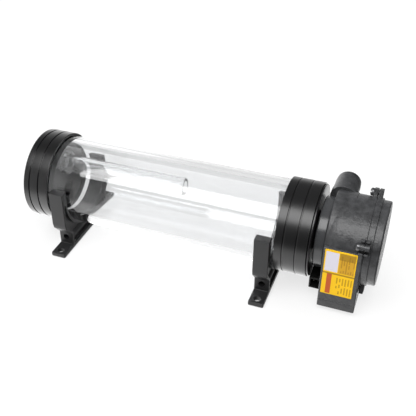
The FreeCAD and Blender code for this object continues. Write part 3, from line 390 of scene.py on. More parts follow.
def copy_turned(piece, angle):
    """A copy with its own mesh, turned about the tube's axis."""
    twin = piece.copy()
    twin.data = piece.data.copy()
    bpy.context.scene.collection.objects.link(twin)
    return turn_in_place(twin, angle)


def joined(pieces):
    """Several separate solids in one object."""
    deselect()
    for piece in pieces:
        piece.select_set(True)
    bpy.context.view_layer.objects.active = pieces[0]
    bpy.ops.object.join()
    return bpy.context.object


def finish(piece, name, body, finish_material, smooth_angle=32):
    """Shades a piece, and gives it its name, finish and body."""
    only(piece)
    bpy.ops.object.shade_smooth_by_angle(angle=math.radians(smooth_angle))
    # Large faces keep their own direction, and the rounded edges take up the change
    weigh = piece.modifiers.new("weighted normals", "WEIGHTED_NORMAL")
    weigh.keep_sharp = True
    bpy.ops.object.modifier_apply(modifier=weigh.name)
    piece.name = name
    piece.data.name = name
    piece.data.materials.clear()
    piece.data.materials.append(finish_material)
    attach(piece, body)
    deselect()
    return piece


def screw_place(x, angle):
    """The place at x on a cover screw's line, with its angle from -Y towards +Z."""
    y, z = -EAR_RADIUS * math.cos(angle), EAR_RADIUS * math.sin(angle)
    return Vector((x, AXIS.y + y, AXIS.z + z))


# Node groups and finishes

def new_group(name, inputs, outputs):
    """An empty shader group with its named sockets."""
    group = bpy.data.node_groups.new(name, "ShaderNodeTree")
    for label, kind, default in inputs:
        socket = group.interface.new_socket(label, in_out="INPUT", socket_type=kind)
        socket.default_value = default
    for label, kind in outputs:
        group.interface.new_socket(label, in_out="OUTPUT", socket_type=kind)
    return group


FLOAT = "NodeSocketFloat"
COLOUR = "NodeSocketColor"
NORMAL = "NodeSocketVector"


def node(tree, kind, **settings):
    """A new node with its own settings, such as its operation."""
    made = tree.nodes.new(kind)
    for key, value in settings.items():
        setattr(made, key, value)
    return made


def feed(tree, socket, value):
    """Links an input to a socket, or sets it to a number."""
    if isinstance(value, bpy.types.NodeSocket):
        tree.links.new(value, socket)
    else:
        socket.default_value = value


def math_node(tree, operation, *values):
    """A math node whose inputs are sockets or numbers; returns its output."""
    made = node(tree, "ShaderNodeMath", operation=operation)
    for socket, value in zip(made.inputs, values):
        feed(tree, socket, value)
    return made.outputs[0]


def map_range(tree, value, low, high, at_low, at_high):
    """A smooth change from one value to another over a range."""
    ranged = node(tree, "ShaderNodeMapRange", interpolation_type="SMOOTHSTEP")
    tree.links.new(value, ranged.inputs["Value"])
    pairs = (("From Min", low), ("From Max", high), ("To Min", at_low), ("To Max", at_high))
    for label, number in pairs:
        ranged.inputs[label].default_value = number
    return ranged.outputs[0]


def noise_node(tree, vector, scale, detail, roughness, dimensions="3D"):
    """Noise along a vector, or along a single number in one dimension."""
    made = node(tree, "ShaderNodeTexNoise", noise_dimensions=dimensions)
    for name, value in (("Scale", scale), ("Detail", detail), ("Roughness", roughness)):
        feed(tree, made.inputs[name], value)
    tree.links.new(vector, made.inputs["W" if dimensions == "1D" else "Vector"])
    return made.outputs["Fac"]


def spread(tree, base, amount, mask):
    """A value that varies about its base with a mask that is 0.5 on average."""
    shift = math_node(tree, "SUBTRACT", mask, 0.5)
    return math_node(tree, "ADD", base, math_node(tree, "MULTIPLY", shift, amount))


def bumped(tree, height, distance):
    """A normal that follows a height."""
    bump = node(tree, "ShaderNodeBump")
    bump.inputs["Strength"].default_value = 1
    tree.links.new(height, bump.inputs["Height"])
    feed(tree, bump.inputs["Distance"], distance)
    return bump.outputs["Normal"]


def group_ends(tree):
    """What a group is given, what it results in, and the place on the piece."""
    given = node(tree, "NodeGroupInput").outputs
    result = node(tree, "NodeGroupOutput").inputs
    place = node(tree, "ShaderNodeTexCoord").outputs["Object"]
    return given, result, place


def cloud_over(tree, given, result, cloud, fine):
    """Shades the colour by a cloud, and the roughness by the cloud and a finer pattern."""
    scaled = node(tree, "ShaderNodeVectorMath", operation="SCALE")
    tree.links.new(given["Colour"], scaled.inputs[0])
    tree.links.new(spread(tree, 1.0, given["Cloud"], cloud), scaled.inputs["Scale"])
    tree.links.new(scaled.outputs[0], result["Colour"])
    mixed = math_node(tree, "MULTIPLY", math_node(tree, "ADD", fine, cloud), 0.5)
    rough = spread(tree, given["Roughness"], given["Roughness Spread"], mixed)
    tree.links.new(rough, result["Roughness"])


def turned_surface_group():
    """Fine tool lines round the X axis and across its faces, and a faint cloud."""
    tree = new_group(
        "turned surface",
        [
            ("Colour", COLOUR, (0.02, 0.02, 0.02, 1)),
            ("Cloud", FLOAT, 0.3),
            ("Line Spacing", FLOAT, 0.3 * MM),
            ("Line Depth", FLOAT, 0.002 * MM),
            ("Roughness", FLOAT, 0.3),
            ("Roughness Spread", FLOAT, 0.1),
            ("Axis Height", FLOAT, AXIS.z),
        ],
        [("Colour", COLOUR), ("Roughness", FLOAT), ("Normal", NORMAL)],
    )
    given, result, place = group_ends(tree)
    parts = node(tree, "ShaderNodeSeparateXYZ")
    tree.links.new(place, parts.inputs[0])
    rise = math_node(tree, "SUBTRACT", parts.outputs["Z"], given["Axis Height"])
    squares = [math_node(tree, "POWER", side, 2.0) for side in (parts.outputs["Y"], rise)]
    radius = math_node(tree, "SQRT", math_node(tree, "ADD", *squares))
    run = math_node(tree, "ADD", parts.outputs["X"], radius)
    lines_at = math_node(tree, "DIVIDE", run, given["Line Spacing"])
    lines = noise_node(tree, lines_at, scale=1.0, detail=3.0, roughness=0.6, dimensions="1D")
    cloud = noise_node(tree, place, scale=70.0, detail=3.0, roughness=0.55)
    cloud_over(tree, given, result, cloud, lines)
    tree.links.new(bumped(tree, lines, given["Line Depth"]), result["Normal"])
    return tree


def moulded_surface_group():
    """Cloudy moulded plastic with a fine grain on slow waves."""
    tree = new_group(
        "moulded surface",
        [
            ("Colour", COLOUR, (0.05, 0.05, 0.05, 1)),
            ("Cloud", FLOAT, 0.4),
            ("Cloud Scale", FLOAT, 90.0),
            ("Grain Scale", FLOAT, 2500.0),
            ("Grain Depth", FLOAT, 0.01 * MM),
            ("Wave Depth", FLOAT, 0.0),
            ("Roughness", FLOAT, 0.45),
            ("Roughness Spread", FLOAT, 0.15),
        ],
        [("Colour", COLOUR), ("Roughness", FLOAT), ("Normal", NORMAL)],
    )
    given, result, place = group_ends(tree)
    cloud = noise_node(tree, place, given["Cloud Scale"], detail=4.0, roughness=0.6)
    grain = noise_node(tree, place, given["Grain Scale"], detail=2.0, roughness=0.6)
    cloud_over(tree, given, result, cloud, grain)
    fine = math_node(tree, "MULTIPLY", grain, given["Grain Depth"])
    slow = math_node(tree, "MULTIPLY", cloud, given["Wave Depth"])
    tree.links.new(bumped(tree, math_node(tree, "ADD", fine, slow), 1.0), result["Normal"])
    return tree


def drawn_surface_group():
    """Faint long streaks, as on a drawn or extruded clear tube."""
    tree = new_group(
        "drawn surface",
        [
            ("Streak Depth", FLOAT, 0.004 * MM),
            ("Roughness", FLOAT, 0.02),
            ("Roughness Spread", FLOAT, 0.02),
        ],
        [("Roughness", FLOAT), ("Normal", NORMAL)],
    )
    given, result, place = group_ends(tree)
    stretch = node(tree, "ShaderNodeMapping", vector_type="TEXTURE")
    stretch.inputs["Scale"].default_value = (30.0, 1.0, 1.0)
    tree.links.new(place, stretch.inputs["Vector"])
    streaks = noise_node(tree, stretch.outputs["Vector"], scale=160.0, detail=2.0, roughness=0.5)
    rough = spread(tree, given["Roughness"], given["Roughness Spread"], streaks)
    tree.links.new(rough, result["Roughness"])
    tree.links.new(bumped(tree, streaks, given["Streak Depth"]), result["Normal"])
    return tree


GROUP_MAKERS = {
    "turned surface": turned_surface_group,
    "moulded surface": moulded_surface_group,
    "drawn surface": drawn_surface_group,
}


def shared_group(name):
    return bpy.data.node_groups.get(name) or GROUP_MAKERS[name]()


def principled(material):
    return material.node_tree.nodes["Principled BSDF"]


def opaque(rgb):
    return (*rgb, 1.0)


def surface(name, group_name, shader_values, **values):
    """A material: one shared group feeds the shader, whose other sockets hold constants.

    The group's own values go by the names of its sockets, as in cloud_scale.
    """
    known = bpy.data.materials.get(name)
    if known:
        return known
    made = bpy.data.materials.new(name)
    made.use_nodes = True
    tree, shader = made.node_tree, principled(made)
    look = node(tree, "ShaderNodeGroup", node_tree=shared_group(group_name))
    for label, value in values.items():
        look.inputs[label.replace("_", " ").title()].default_value = value
    pairs = (("Colour", "Base Color"), ("Roughness", "Roughness"), ("Normal", "Normal"))
    for output, socket in pairs:
        if output in look.outputs:
            tree.links.new(look.outputs[output], shader.inputs[socket])
    for label, value in shader_values.items():
        shader.inputs[label].default_value = value
    return made


def black_metal():
    """Black anodised, fine turned."""
    return surface(
        "black anodised",
        "turned surface",
        {"Metallic": 0.0, "Specular IOR Level": 0.55},
        colour=opaque(bpy.context.scene.reservoir_colours.black_metal),
        cloud=0.25,
        line_spacing=0.45 * MM,
        line_depth=0.004 * MM,
        roughness=0.30,
        roughness_spread=0.10,
    )


def clip_plastic():
    return surface(
        "clip plastic",
        "moulded surface",
        {},
        colour=opaque(bpy.context.scene.reservoir_colours.clip_black),
        cloud=0.5,
        cloud_scale=120.0,
        grain_scale=3200.0,
        grain_depth=0.02 * MM,
        roughness=0.50,
        roughness_spread=0.20,
    )


def casing_plastic():
    return surface(
        "casing plastic",
        "moulded surface",
        {},
        colour=opaque(bpy.context.scene.reservoir_colours.casing_grey),
        cloud=2.2,
        cloud_scale=210.0,
        grain_scale=2200.0,
        grain_depth=0.02 * MM,
        wave_depth=0.5 * MM,
        roughness=0.38,
        roughness_spread=0.5,
    )


def cover_plastic():
    return surface(
        "cover plastic",
        "moulded surface",
        {},
        colour=opaque(bpy.context.scene.reservoir_colours.cover_grey),
        cloud=0.3,
        cloud_scale=60.0,
        grain_scale=1800.0,
        grain_depth=0.003 * MM,
        roughness=0.21,
        roughness_spread=0.10,
    )


def clear_acrylic():
    made = surface(
        "clear acrylic",
        "drawn surface",
        {"Transmission Weight": 1.0, "IOR": 1.49, "Metallic": 0.0},
        streak_depth=0.001 * MM,
        roughness=0.01,
        roughness_spread=0.01,
    )
    tint = opaque(bpy.context.scene.reservoir_colours.clear)
    principled(made).inputs["Base Color"].default_value = tint
    return made


def plain_finish(name, rgb, roughness, metallic=0.0, cloud=0.4):
    """A moulded or cast finish for a small or hidden piece."""
    return surface(
        name,
        "moulded surface",
        {"Metallic": metallic},
        colour=opaque(rgb),
        cloud=cloud,
        cloud_scale=160.0,
        grain_scale=2400.0,
        grain_depth=0.01 * MM,
        roughness=roughness,
        roughness_spread=0.15,
    )


def socket_plastic():
    made = plain_finish("socket plastic", (0.003, 0.003, 0.003), 0.6, cloud=0.5)
    principled(made).inputs["Specular IOR Level"].default_value = 0.3
    return made


def turned_metal(name, rgb, roughness):
    return surface(
        name,
        "turned surface",
        {"Metallic": 1.0},
        colour=opaque(rgb),
        cloud=0.2,
        line_spacing=0.2 * MM,
        line_depth=0.002 * MM,
        roughness=roughness,
        roughness_spread=0.1,
    )


def rubber():
    return plain_finish("black rubber", (0.012, 0.012, 0.012), 0.6, cloud=0.5)


def screw_metal():
    return plain_finish("dull zinc", (0.13, 0.13, 0.135), 0.38, metallic=0.9, cloud=0.5)


# Print on the rating plate, and one band of painted shadow, from the ground up. Each field is
# (left, right, bottom, top) as shares of the plate, and rows are (how many across the plate, how
# often their dashes change)
PLATE_PRINT_AND_SHADE = {
    # layer: field, colour, strength, rows
    "pale panel": ((0.04, 0.45, 0.53, 0.96), (0.54, 0.52, 0.58), 1.0, None),
    "strip": ((0.14, 0.30, 0.02, 0.475), (0.40, 0.075, 0.015), 1.0, None),
    "upper ground": ((0.47, 0.97, 0.52, 0.97), (0.50, 0.27, 0.012), 1.0, None),
    "upper head": ((0.47, 0.97, 0.82, 0.97), (0.27, 0.15, 0.003), 0.8, None),
    # Painted shadow: a dark band across the middle, as if the sheet were creased over a step
    "painted crease shadow": ((0.00, 1.00, 0.47, 0.505), (0.16, 0.09, 0.005), 0.75, None),
    "upper rows": ((0.50, 0.95, 0.54, 0.93), (0.20, 0.10, 0.004), 0.55, (13.0, 9.0)),
    "lower rows": ((0.45, 0.95, 0.04, 0.42), (0.24, 0.13, 0.002), 0.65, (11.0, 11.0)),
}


def field_mask(tree, across, up, field):
    """1 inside a rectangle of the plate, and 0 outside it."""
    left, right, bottom, top = field
    sides = (
        math_node(tree, "GREATER_THAN", across, left),
        math_node(tree, "LESS_THAN", across, right),
        math_node(tree, "GREATER_THAN", up, bottom),
        math_node(tree, "LESS_THAN", up, top),
    )
    mask = sides[0]
    for side in sides[1:]:
        mask = math_node(tree, "MULTIPLY", mask, side)
    return mask


def row_mask(tree, across, up, field, rows, broken):
    """Uneven dashes in upright rows: print too small to be letters."""
    row_shift, gap_level = 7.3, 0.44
    counted = math_node(tree, "MULTIPLY", across, rows)
    in_line = math_node(tree, "LESS_THAN", math_node(tree, "FRACT", counted), 0.5)
    row_number = math_node(tree, "FLOOR", counted)
    place = node(tree, "ShaderNodeCombineXYZ")
    tree.links.new(math_node(tree, "MULTIPLY", up, broken), place.inputs["X"])
    tree.links.new(math_node(tree, "MULTIPLY", row_number, row_shift), place.inputs["Y"])
    dashes = noise_node(tree, place.outputs[0], scale=1.0, detail=0.0, roughness=0.5)
    on = math_node(tree, "GREATER_THAN", dashes, gap_level)
    mask = math_node(tree, "MULTIPLY", in_line, on)
    return math_node(tree, "MULTIPLY", mask, field_mask(tree, across, up, field))


def painted(tree, under, rgb, mask, strength):
    """One colour laid over what is under it, where the mask is 1."""
    mix = node(tree, "ShaderNodeMix", data_type="RGBA")
    factor = math_node(tree, "MULTIPLY", mask, strength)
    tree.links.new(factor, mix.inputs["Factor"])
    tree.links.new(under, mix.inputs["A"])
    mix.inputs["B"].default_value = opaque(rgb)
    return mix.outputs["Result"]


def printed_film():
    """Yellow film with plain printed fields and rows, and one band of painted shadow across its
    middle.
    """
    made = surface(
        "printed film",
        "moulded surface",
        {"Specular IOR Level": 0.2},
        colour=opaque(bpy.context.scene.reservoir_colours.sheet_yellow),
        cloud=0.10,
        cloud_scale=120.0,
        grain_scale=1500.0,
        grain_depth=0.004 * MM,
        roughness=0.36,
        roughness_spread=0.10,
    )
    tree, shader = made.node_tree, principled(made)
    look = shader.inputs["Base Color"].links[0].from_socket
    place = node(tree, "ShaderNodeTexCoord")
    parts = node(tree, "ShaderNodeSeparateXYZ")
    tree.links.new(place.outputs["Object"], parts.inputs[0])
    size = PLATE_HIGH - PLATE_LOW
    from_left = math_node(tree, "SUBTRACT", parts.outputs["X"], PLATE_LOW.x)
    from_foot = math_node(tree, "SUBTRACT", parts.outputs["Z"], PLATE_LOW.z)
    across = math_node(tree, "DIVIDE", from_left, size.x)
    up = math_node(tree, "DIVIDE", from_foot, size.z)
    for field, rgb, strength, rows in PLATE_PRINT_AND_SHADE.values():
        if rows:
            mask = row_mask(tree, across, up, field, *rows)
        else:
            mask = field_mask(tree, across, up, field)
        look = painted(tree, look, rgb, mask, strength)
    tree.links.new(look, shader.inputs["Base Color"])
    return made


# Pieces

def make_tube():
    """Clear tube with rounded rims."""
    sizes = bpy.context.scene.reservoir_sizes
    low, high = TUBE_LOW.x, TUBE_HIGH.x
    tube = turned([(low, TUBE_BORE), (low, TUBE_RADIUS), (high, TUBE_RADIUS), (high, TUBE_BORE)])
    round_edges(tube, sizes.tube_edge)
    tube.visible_shadow = False
    finish(tube, "clear_tube", "reservoir", clear_acrylic())
    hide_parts("reservoir_tube")


def make_standpipe():
    """Clear pipe with a rounded lip."""
    wall = 2 * MM
    centre = AXIS + ALONG_Z * PORT_RISE
    low, high = PIPE_LOW.x, PIPE_HIGH.x
    inner = PIPE_RADIUS - wall
    pipe = turned(
        [(low, inner), (low, PIPE_RADIUS), (high, PIPE_RADIUS), (high, inner)],
        centre=centre,
        facets=96,
    )
    round_edges(pipe, 0.9 * MM, segments=5)
    finish(pipe, "clear_standpipe", "reservoir", clear_acrylic())
    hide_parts("standpipe")


def make_standpipe_fitting():
    """Clear collar between the end cap and the standpipe."""
    low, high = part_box("standpipe_fitting")
    centre = AXIS + ALONG_Z * PORT_RISE
    collar_start = PIPE_LOW.x
    stub = 7.3 * MM
    collar = (high.z - low.z) / 2
    socket = PIPE_RADIUS + SEAT_GAP / 2
    fitting = turned(
        [
            (low.x, WATERWAY_RADIUS),
            (low.x, stub),
            (collar_start, stub),
            (collar_start, collar),
            (high.x, collar),
            (high.x, socket),
            (collar_start, socket),
            (collar_start, WATERWAY_RADIUS),
        ],
        centre=centre,
        facets=96,
    )
    round_edges(fitting, 0.3 * MM)
    finish(fitting, "clear_fitting_ring", "reservoir", clear_acrylic())
    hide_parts("standpipe_fitting")


def grooved(start, end, radius, places):
    """Outer profile points from one end of a band to the other, with narrow grooves."""
    sizes = bpy.context.scene.reservoir_sizes
    half, floor = sizes.groove_width / 2, radius - sizes.groove_depth
    points = [(start, radius)]
    for place in places:
        left, right = start + place - half, start + place + half
        points += [(left, radius), (left, floor), (right, floor), (right, radius)]
    return points + [(end, radius)]


def seal_seat(centre):
    """Profile points of an O-ring groove."""
    half, floor = 1.1 * MM, TUBE_BORE - 2 * MM
    start, end = centre - half, centre + half
    return [(start, PLUG_RADIUS), (start, floor), (end, floor), (end, PLUG_RADIUS)]


def make_end_cap():
    """Black turned cap with its two ports."""
    sizes = bpy.context.scene.reservoir_sizes
    face, plug_end = TUBE_LOW.x, TUBE_LOW.x + PLUG_DEPTH
    profile = [(CAP_LOW.x, 0)]
    profile += grooved(CAP_LOW.x, CAP_HIGH.x, CAP_RADIUS, CAP_GROOVES)
    profile += [(CAP_HIGH.x, SKIRT_RADIUS), (face, SKIRT_RADIUS), (face, PLUG_RADIUS)]
    for place in SEAL_PLACES:
        profile += seal_seat(face + place)
    profile += [(plug_end, PLUG_RADIUS), (plug_end, 0)]
    cap = turned(profile, closed=False)
    round_edges(cap, sizes.turned_edge / 2, segments=2)
    # The inlet, its water way and the seat of the standpipe's fitting, then the fill port
    thread_depth, seat_depth, seat_radius = 9 * MM, 5.6 * MM, 7.4 * MM
    port = on_axis(CAP_LOW.x - MARGIN, PORT_RISE)
    length = plug_end - CAP_LOW.x
    seat = port + ALONG_X * (length + MARGIN - seat_depth)
    cut(cap, rod(port, ALONG_X, PORT_RADIUS, thread_depth + MARGIN))
    cut(cap, rod(port, ALONG_X, WATERWAY_RADIUS, length + 2 * MARGIN))
    cut(cap, rod(seat, ALONG_X, seat_radius, seat_depth + MARGIN))
    lower = port - ALONG_Z * 2 * PORT_RISE
    cut(cap, rod(lower, ALONG_X, PORT_RADIUS, length + 2 * MARGIN))
    finish(cap, "black_end_cap", "reservoir", black_metal())
    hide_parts("end_cap")


def make_pump_adapter():
    """Black turned end piece that takes the pump."""
    sizes = bpy.context.scene.reservoir_sizes
    face, plug_start = TUBE_HIGH.x, TUBE_HIGH.x - PLUG_DEPTH
    rim, rim_length = 31 * MM, 1.4 * MM
    band_end = ADAPTER_HIGH.x - rim_length
    neck, neck_depth = NECK_RADIUS + SEAT_GAP, 9.6 * MM
    neck_floor = ADAPTER_HIGH.x - neck_depth
    profile = [(plug_start, SUCTION_RADIUS), (plug_start, PLUG_RADIUS)]
    for place in reversed(SEAL_PLACES):
        profile += seal_seat(face - place)
    profile += [(face, PLUG_RADIUS), (face, SKIRT_RADIUS), (ADAPTER_SKIRT, SKIRT_RADIUS)]
    profile += grooved(ADAPTER_SKIRT, band_end, CAP_RADIUS, ADAPTER_GROOVES)
    # Half a groove sets the rim off from the band
    floor, rim_start = rim - sizes.groove_depth, band_end + sizes.groove_width / 2
    profile += [(band_end, floor), (rim_start, floor), (rim_start, rim)]
    profile += [(ADAPTER_HIGH.x, rim), (ADAPTER_HIGH.x, neck)]
    profile += [(neck_floor, neck), (neck_floor, SUCTION_RADIUS)]
    adapter = turned(profile)
    round_edges(adapter, sizes.turned_edge / 2, segments=2)
    finish(adapter, "black_pump_adapter", "reservoir", black_metal())
    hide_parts("pump_adapter")


def make_fill_plug():
    """Screw plug with thread rings and a hexagon socket."""
    low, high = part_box("fill_plug")
    centre = AXIS - ALONG_Z * PORT_RISE
    head = (high.z - low.z) / 2
    head_end = low.x + 3.4 * MM
    thread = PORT_RADIUS - 0.05 * MM
    seat_floor = head_end - 1.2 * MM
    seat = PORT_RADIUS + 1.8 * MM
    profile = [(low.x, 0), (low.x, head), (head_end, head), (head_end, seat)]
    profile += [(seat_floor, seat), (seat_floor, thread)]
    pitch, turns, thread_depth, relief = 1.337 * MM, 5, 0.5 * MM, 1.0 * MM
    for i in range(turns):
        crest = head_end + relief + i * pitch
        root = (crest + pitch * 0.5, thread - thread_depth)
        profile += [(crest, thread), root, (crest + pitch, thread)]
    profile += [(high.x, thread), (high.x, 0)]
    plug = turned(profile, closed=False, centre=centre, facets=72)
    round_edges(plug, 0.25 * MM, segments=2, angle=50)
    half_key, key_depth = 3 * MM, 3 * MM
    deselect()
    bpy.ops.mesh.primitive_cylinder_add(
        vertices=6,
        radius=half_key / math.cos(math.pi / 6),
        depth=key_depth + MARGIN,
        location=(low.x + (key_depth - MARGIN) / 2, centre.y, centre.z),
        rotation=(0, math.pi / 2, 0),
    )
    cut(plug, settle())
    finish(plug, "black_fill_plug", "plug", black_metal())
    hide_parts("fill_plug")


def both_sides(points):
    """Points on the +Y side, then their mirror images, in one way round."""
    return points + [(-y, z) for y, z in reversed(points)]


def make_clip(node_name, name):
    """Push-on clip: a block with a bore, hollow sides, and feet with holes."""
    sizes = bpy.context.scene.reservoir_sizes
    low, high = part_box(node_name)
    width = high.x - low.x
    top = 7.9 * MM
    arm_bottom, neck_top = -20.5 * MM, -29.5 * MM
    bottom = -AXIS.z
    foot_top = bottom + CLIP_FOOT
    # One short slope breaks the corner under the arm, and another the corner at the neck
    arm_slope = ((0, 2 * MM), (-0.8 * MM, -1.5 * MM))
    neck_slope = (0.6 * MM, 0.8 * MM)
    side = both_sides(
        [
            (CLIP_OUTER, top),
            *((CLIP_OUTER + y, arm_bottom + z) for y, z in arm_slope),
            (CLIP_NECK + neck_slope[0], neck_top + neck_slope[1]),
            (CLIP_NECK, neck_top),
            (CLIP_NECK, foot_top),
            (CLIP_FOOT_OUTER, foot_top),
            (CLIP_FOOT_OUTER, bottom),
        ]
    )
    outline = [(low.x, y, AXIS.z + z) for y, z in side]
    clip = prism(outline, ALONG_X * width)
    round_edges(clip, sizes.moulded_edge, segments=3, angle=25)
    # Hollows on both faces, with a rim left round the bore
    depth, hollow_top = 2.6 * MM, -1.9 * MM
    arm_wall, neck_wall = CLIP_OUTER - CLIP_WALL, CLIP_NECK - CLIP_WALL
    hollow = both_sides(
        [
            (arm_wall, hollow_top),
            (arm_wall, arm_bottom),
            (neck_wall, neck_top),
            (neck_wall, foot_top),
        ]
    )
    bore = TUBE_RADIUS + 0.05 * MM
    middle = (low.x + high.x) / 2
    for start in (low.x - MARGIN, high.x - depth):
        tool = prism([(start, y, AXIS.z + z) for y, z in hollow], ALONG_X * (depth + MARGIN))
        rim = rod(on_axis(start - MARGIN), ALONG_X, bore + CLIP_WALL, depth + 3 * MARGIN, 160)
        cut(tool, rim)
        cut(clip, tool)
    # One boss and one hole across the foot, under the tube
    boss_inset, boss_radius, cross_radius, cross_height = 0.2 * MM, 4.2 * MM, 2.3 * MM, 8.6 * MM
    face = Vector((middle, -CLIP_NECK, cross_height))
    boss_length = 2 * CLIP_NECK - 2 * boss_inset
    add(clip, rod(face + ALONG_Y * boss_inset, ALONG_Y, boss_radius, boss_length, 48))
    cut(clip, rod(on_axis(low.x - MARGIN), ALONG_X, bore, width + 2 * MARGIN, 192))
    cross_start, cross_length = face - ALONG_Y * MARGIN, 2 * (CLIP_NECK + MARGIN)
    cut(clip, rod(cross_start, ALONG_Y, cross_radius, cross_length, 48))
    foot_hole_radius, foot_hole_at = 2.4 * MM, 37 * MM
    for side_y in (-foot_hole_at, foot_hole_at):
        foot_hole = Vector((middle, side_y, -MARGIN))
        cut(clip, rod(foot_hole, ALONG_Z, foot_hole_radius, CLIP_FOOT + 2 * MARGIN, 40))
    finish(clip, name, "reservoir", clip_plastic())
    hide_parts(node_name)


def make_clips():
    make_clip("left_bracket", "left_clip")
    make_clip("right_bracket", "right_clip")


def make_suction_cover():
    """Smooth grey disc with its neck and the arms that hold the shaft."""
    neck_start = COVER_LOW.x
    disc_start = CASING_START - 6.8 * MM
    register = REGISTER_RADIUS - SEAT_GAP
    profile = [
        (neck_start, SUCTION_RADIUS),
        (neck_start, NECK_RADIUS),
        (disc_start, NECK_RADIUS),
        (disc_start, COVER_RADIUS),
        (CASING_START, COVER_RADIUS),
        (CASING_START, register),
        (COVER_HIGH.x, register),
        (COVER_HIGH.x, SUCTION_RADIUS),
    ]
    cover = turned(profile)
    round_edges(cover, 1.0 * MM, segments=4)
    hub_length, hub_radius = 6 * MM, 3.2 * MM
    hub_start, hub_floor = COVER_HIGH.x - hub_length, 1 * MM
    arm_length, arm, arms = 4 * MM, 1.6 * MM, 3
    add(cover, rod(on_axis(hub_start), ALONG_X, hub_radius, hub_length, 40))
    for i in range(arms):
        spoke = block(
            (hub_start, -arm / 2, AXIS.z + hub_radius / 2),
            (hub_start + arm_length, arm / 2, AXIS.z + SUCTION_RADIUS + SEAT_GAP),
        )
        add(cover, turn_in_place(spoke, math.tau * i / arms))
    shaft_hole = SCREW_RADIUS + 0.03 * MM
    cut(cover, rod(on_axis(hub_start + hub_floor), ALONG_X, shaft_hole, hub_length, 32))
    finish(cover, "grey_suction_cover", "reservoir", cover_plastic())
    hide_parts("suction_cover")


def ear(start, length, outer, inner):
    """One screw ear, drawn towards -Y: a round boss on a web between two ribs."""
    half, rib, rise = 4.8 * MM, 1.3 * MM, 34.6 * MM

    def plate(reach, bottom, top):
        low, high = on_axis(start, bottom), on_axis(start + length, top)
        return block(low - ALONG_Y * reach, high - ALONG_Y * inner)

    boss = rod(on_axis(start) - ALONG_Y * EAR_RADIUS, ALONG_X, outer, length, 40)
    pieces = []
    for bottom, top in ((half - rib, half), (-half, rib - half)):
        pieces.append(round_edges(plate(rise, bottom, top), 0.4 * MM, segments=3))
    web = plate(EAR_RADIUS, -rib / 2, rib / 2)
    for piece in (*pieces, web):
        add(boss, piece)
    return boss


def add_ears(shell, start, length):
    """Four ears round the axis, each with its screw hole."""
    model = ear(start, length, 2.6 * MM, 27 * MM)
    for angle in EAR_ANGLES:
        add(shell, copy_turned(model, angle))
    bpy.data.objects.remove(model)
    hole = SCREW_RADIUS + 0.05 * MM
    for angle in EAR_ANGLES:
        place = screw_place(start - MARGIN, angle)
        cut(shell, rod(place, ALONG_X, hole, length + 2 * MARGIN, 32))


def shoulder_points(start, sizes, count=10):
    """The casing's rounded shoulder, from its front face to its full radius."""
    radius = 15.9 * MM
    first = Vector((start, sizes.face_radius))
    last = Vector((start + sizes.shoulder, CASING_RADIUS))
    chord = last - first
    half = chord.length / 2
    normal = Vector((-chord.y, chord.x)).normalized()
    centre = (first + last) / 2 - normal * math.sqrt(radius ** 2 - half ** 2)
    begin = math.atan2(first.y - centre.y, first.x - centre.x)
    end = math.atan2(last.y - centre.y, last.x - centre.x)
    for i in range(count + 1):
        angle = begin + (end - begin) * i / count
        yield centre.x + radius * math.cos(angle), centre.y + radius * math.sin(angle)


def casing_shell():
    """The turned shell, hollow from its front face to its rear one."""
    sizes = bpy.context.scene.pump_sizes
    start, end = CASING_START, CASING_END
    chamber_start = start + REGISTER_DEPTH
    chamber_end = chamber_start + 9 * MM
    stator_start = chamber_end + 1.7 * MM
    board_start = end - 1.6 * MM
    board, stator, can, chamber = 26.4 * MM, 25.5 * MM, 11.9 * MM, 20 * MM
    profile = list(shoulder_points(start, sizes))
    profile += [
        (end, CASING_RADIUS),
        (end, board),
        (board_start, board),
        (board_start, stator),
        (stator_start, stator),
        (stator_start, can),
        (chamber_end, can),
        (chamber_end, chamber),
        (chamber_start, chamber),
        (chamber_start, REGISTER_RADIUS),
        (start, REGISTER_RADIUS),
    ]
    return round_edges(turned(profile), 0.35 * MM, segments=3)


def terminal_box():
    """The box under the shell, and the pad that carries the rating plate."""
    box_top, pad_top = AXIS.z - 23 * MM, AXIS.z + 9.6 * MM
    pad_slope, pad_depth = 9 * MM, 6 * MM
    outline = [
        (BOX_LOW.y, BOX_HIGH.z),
        (BOX_HIGH.y, BOX_HIGH.z),
        (BOX_HIGH.y, box_top),
        (BOX_LOW.y + pad_slope, box_top),
        (BOX_LOW.y + pad_depth, pad_top),
        (BOX_LOW.y, pad_top),
    ]
    box = prism([(BOX_LOW.x, y, z) for y, z in outline], ALONG_X * (BOX_HIGH.x - BOX_LOW.x))
    round_edges(box, 0.6 * MM, segments=3, angle=25)
    hollow, length = CASING_RADIUS - 1.5 * MM, CASING_END - CASING_START
    return cut(box, rod(on_axis(CASING_START - MARGIN), ALONG_X, hollow, length + 2 * MARGIN, 160))


def spiral_swell():
    """The swelling over the spiral chamber, towards the outlet."""
    back, up, radius, length = 1.0 * MM, 2.2 * MM, 27 * MM, 13.5 * MM
    place = on_axis(CASING_START, up) + ALONG_Y * back
    swell = rod(place, ALONG_X, radius, length, 192)
    round_edges(swell, 0.8 * MM, segments=4)
    hollow = rod(on_axis(CASING_START - MARGIN), ALONG_X, INSIDE_SHELL, FRONT_TOOL, 160)
    return cut(swell, hollow)


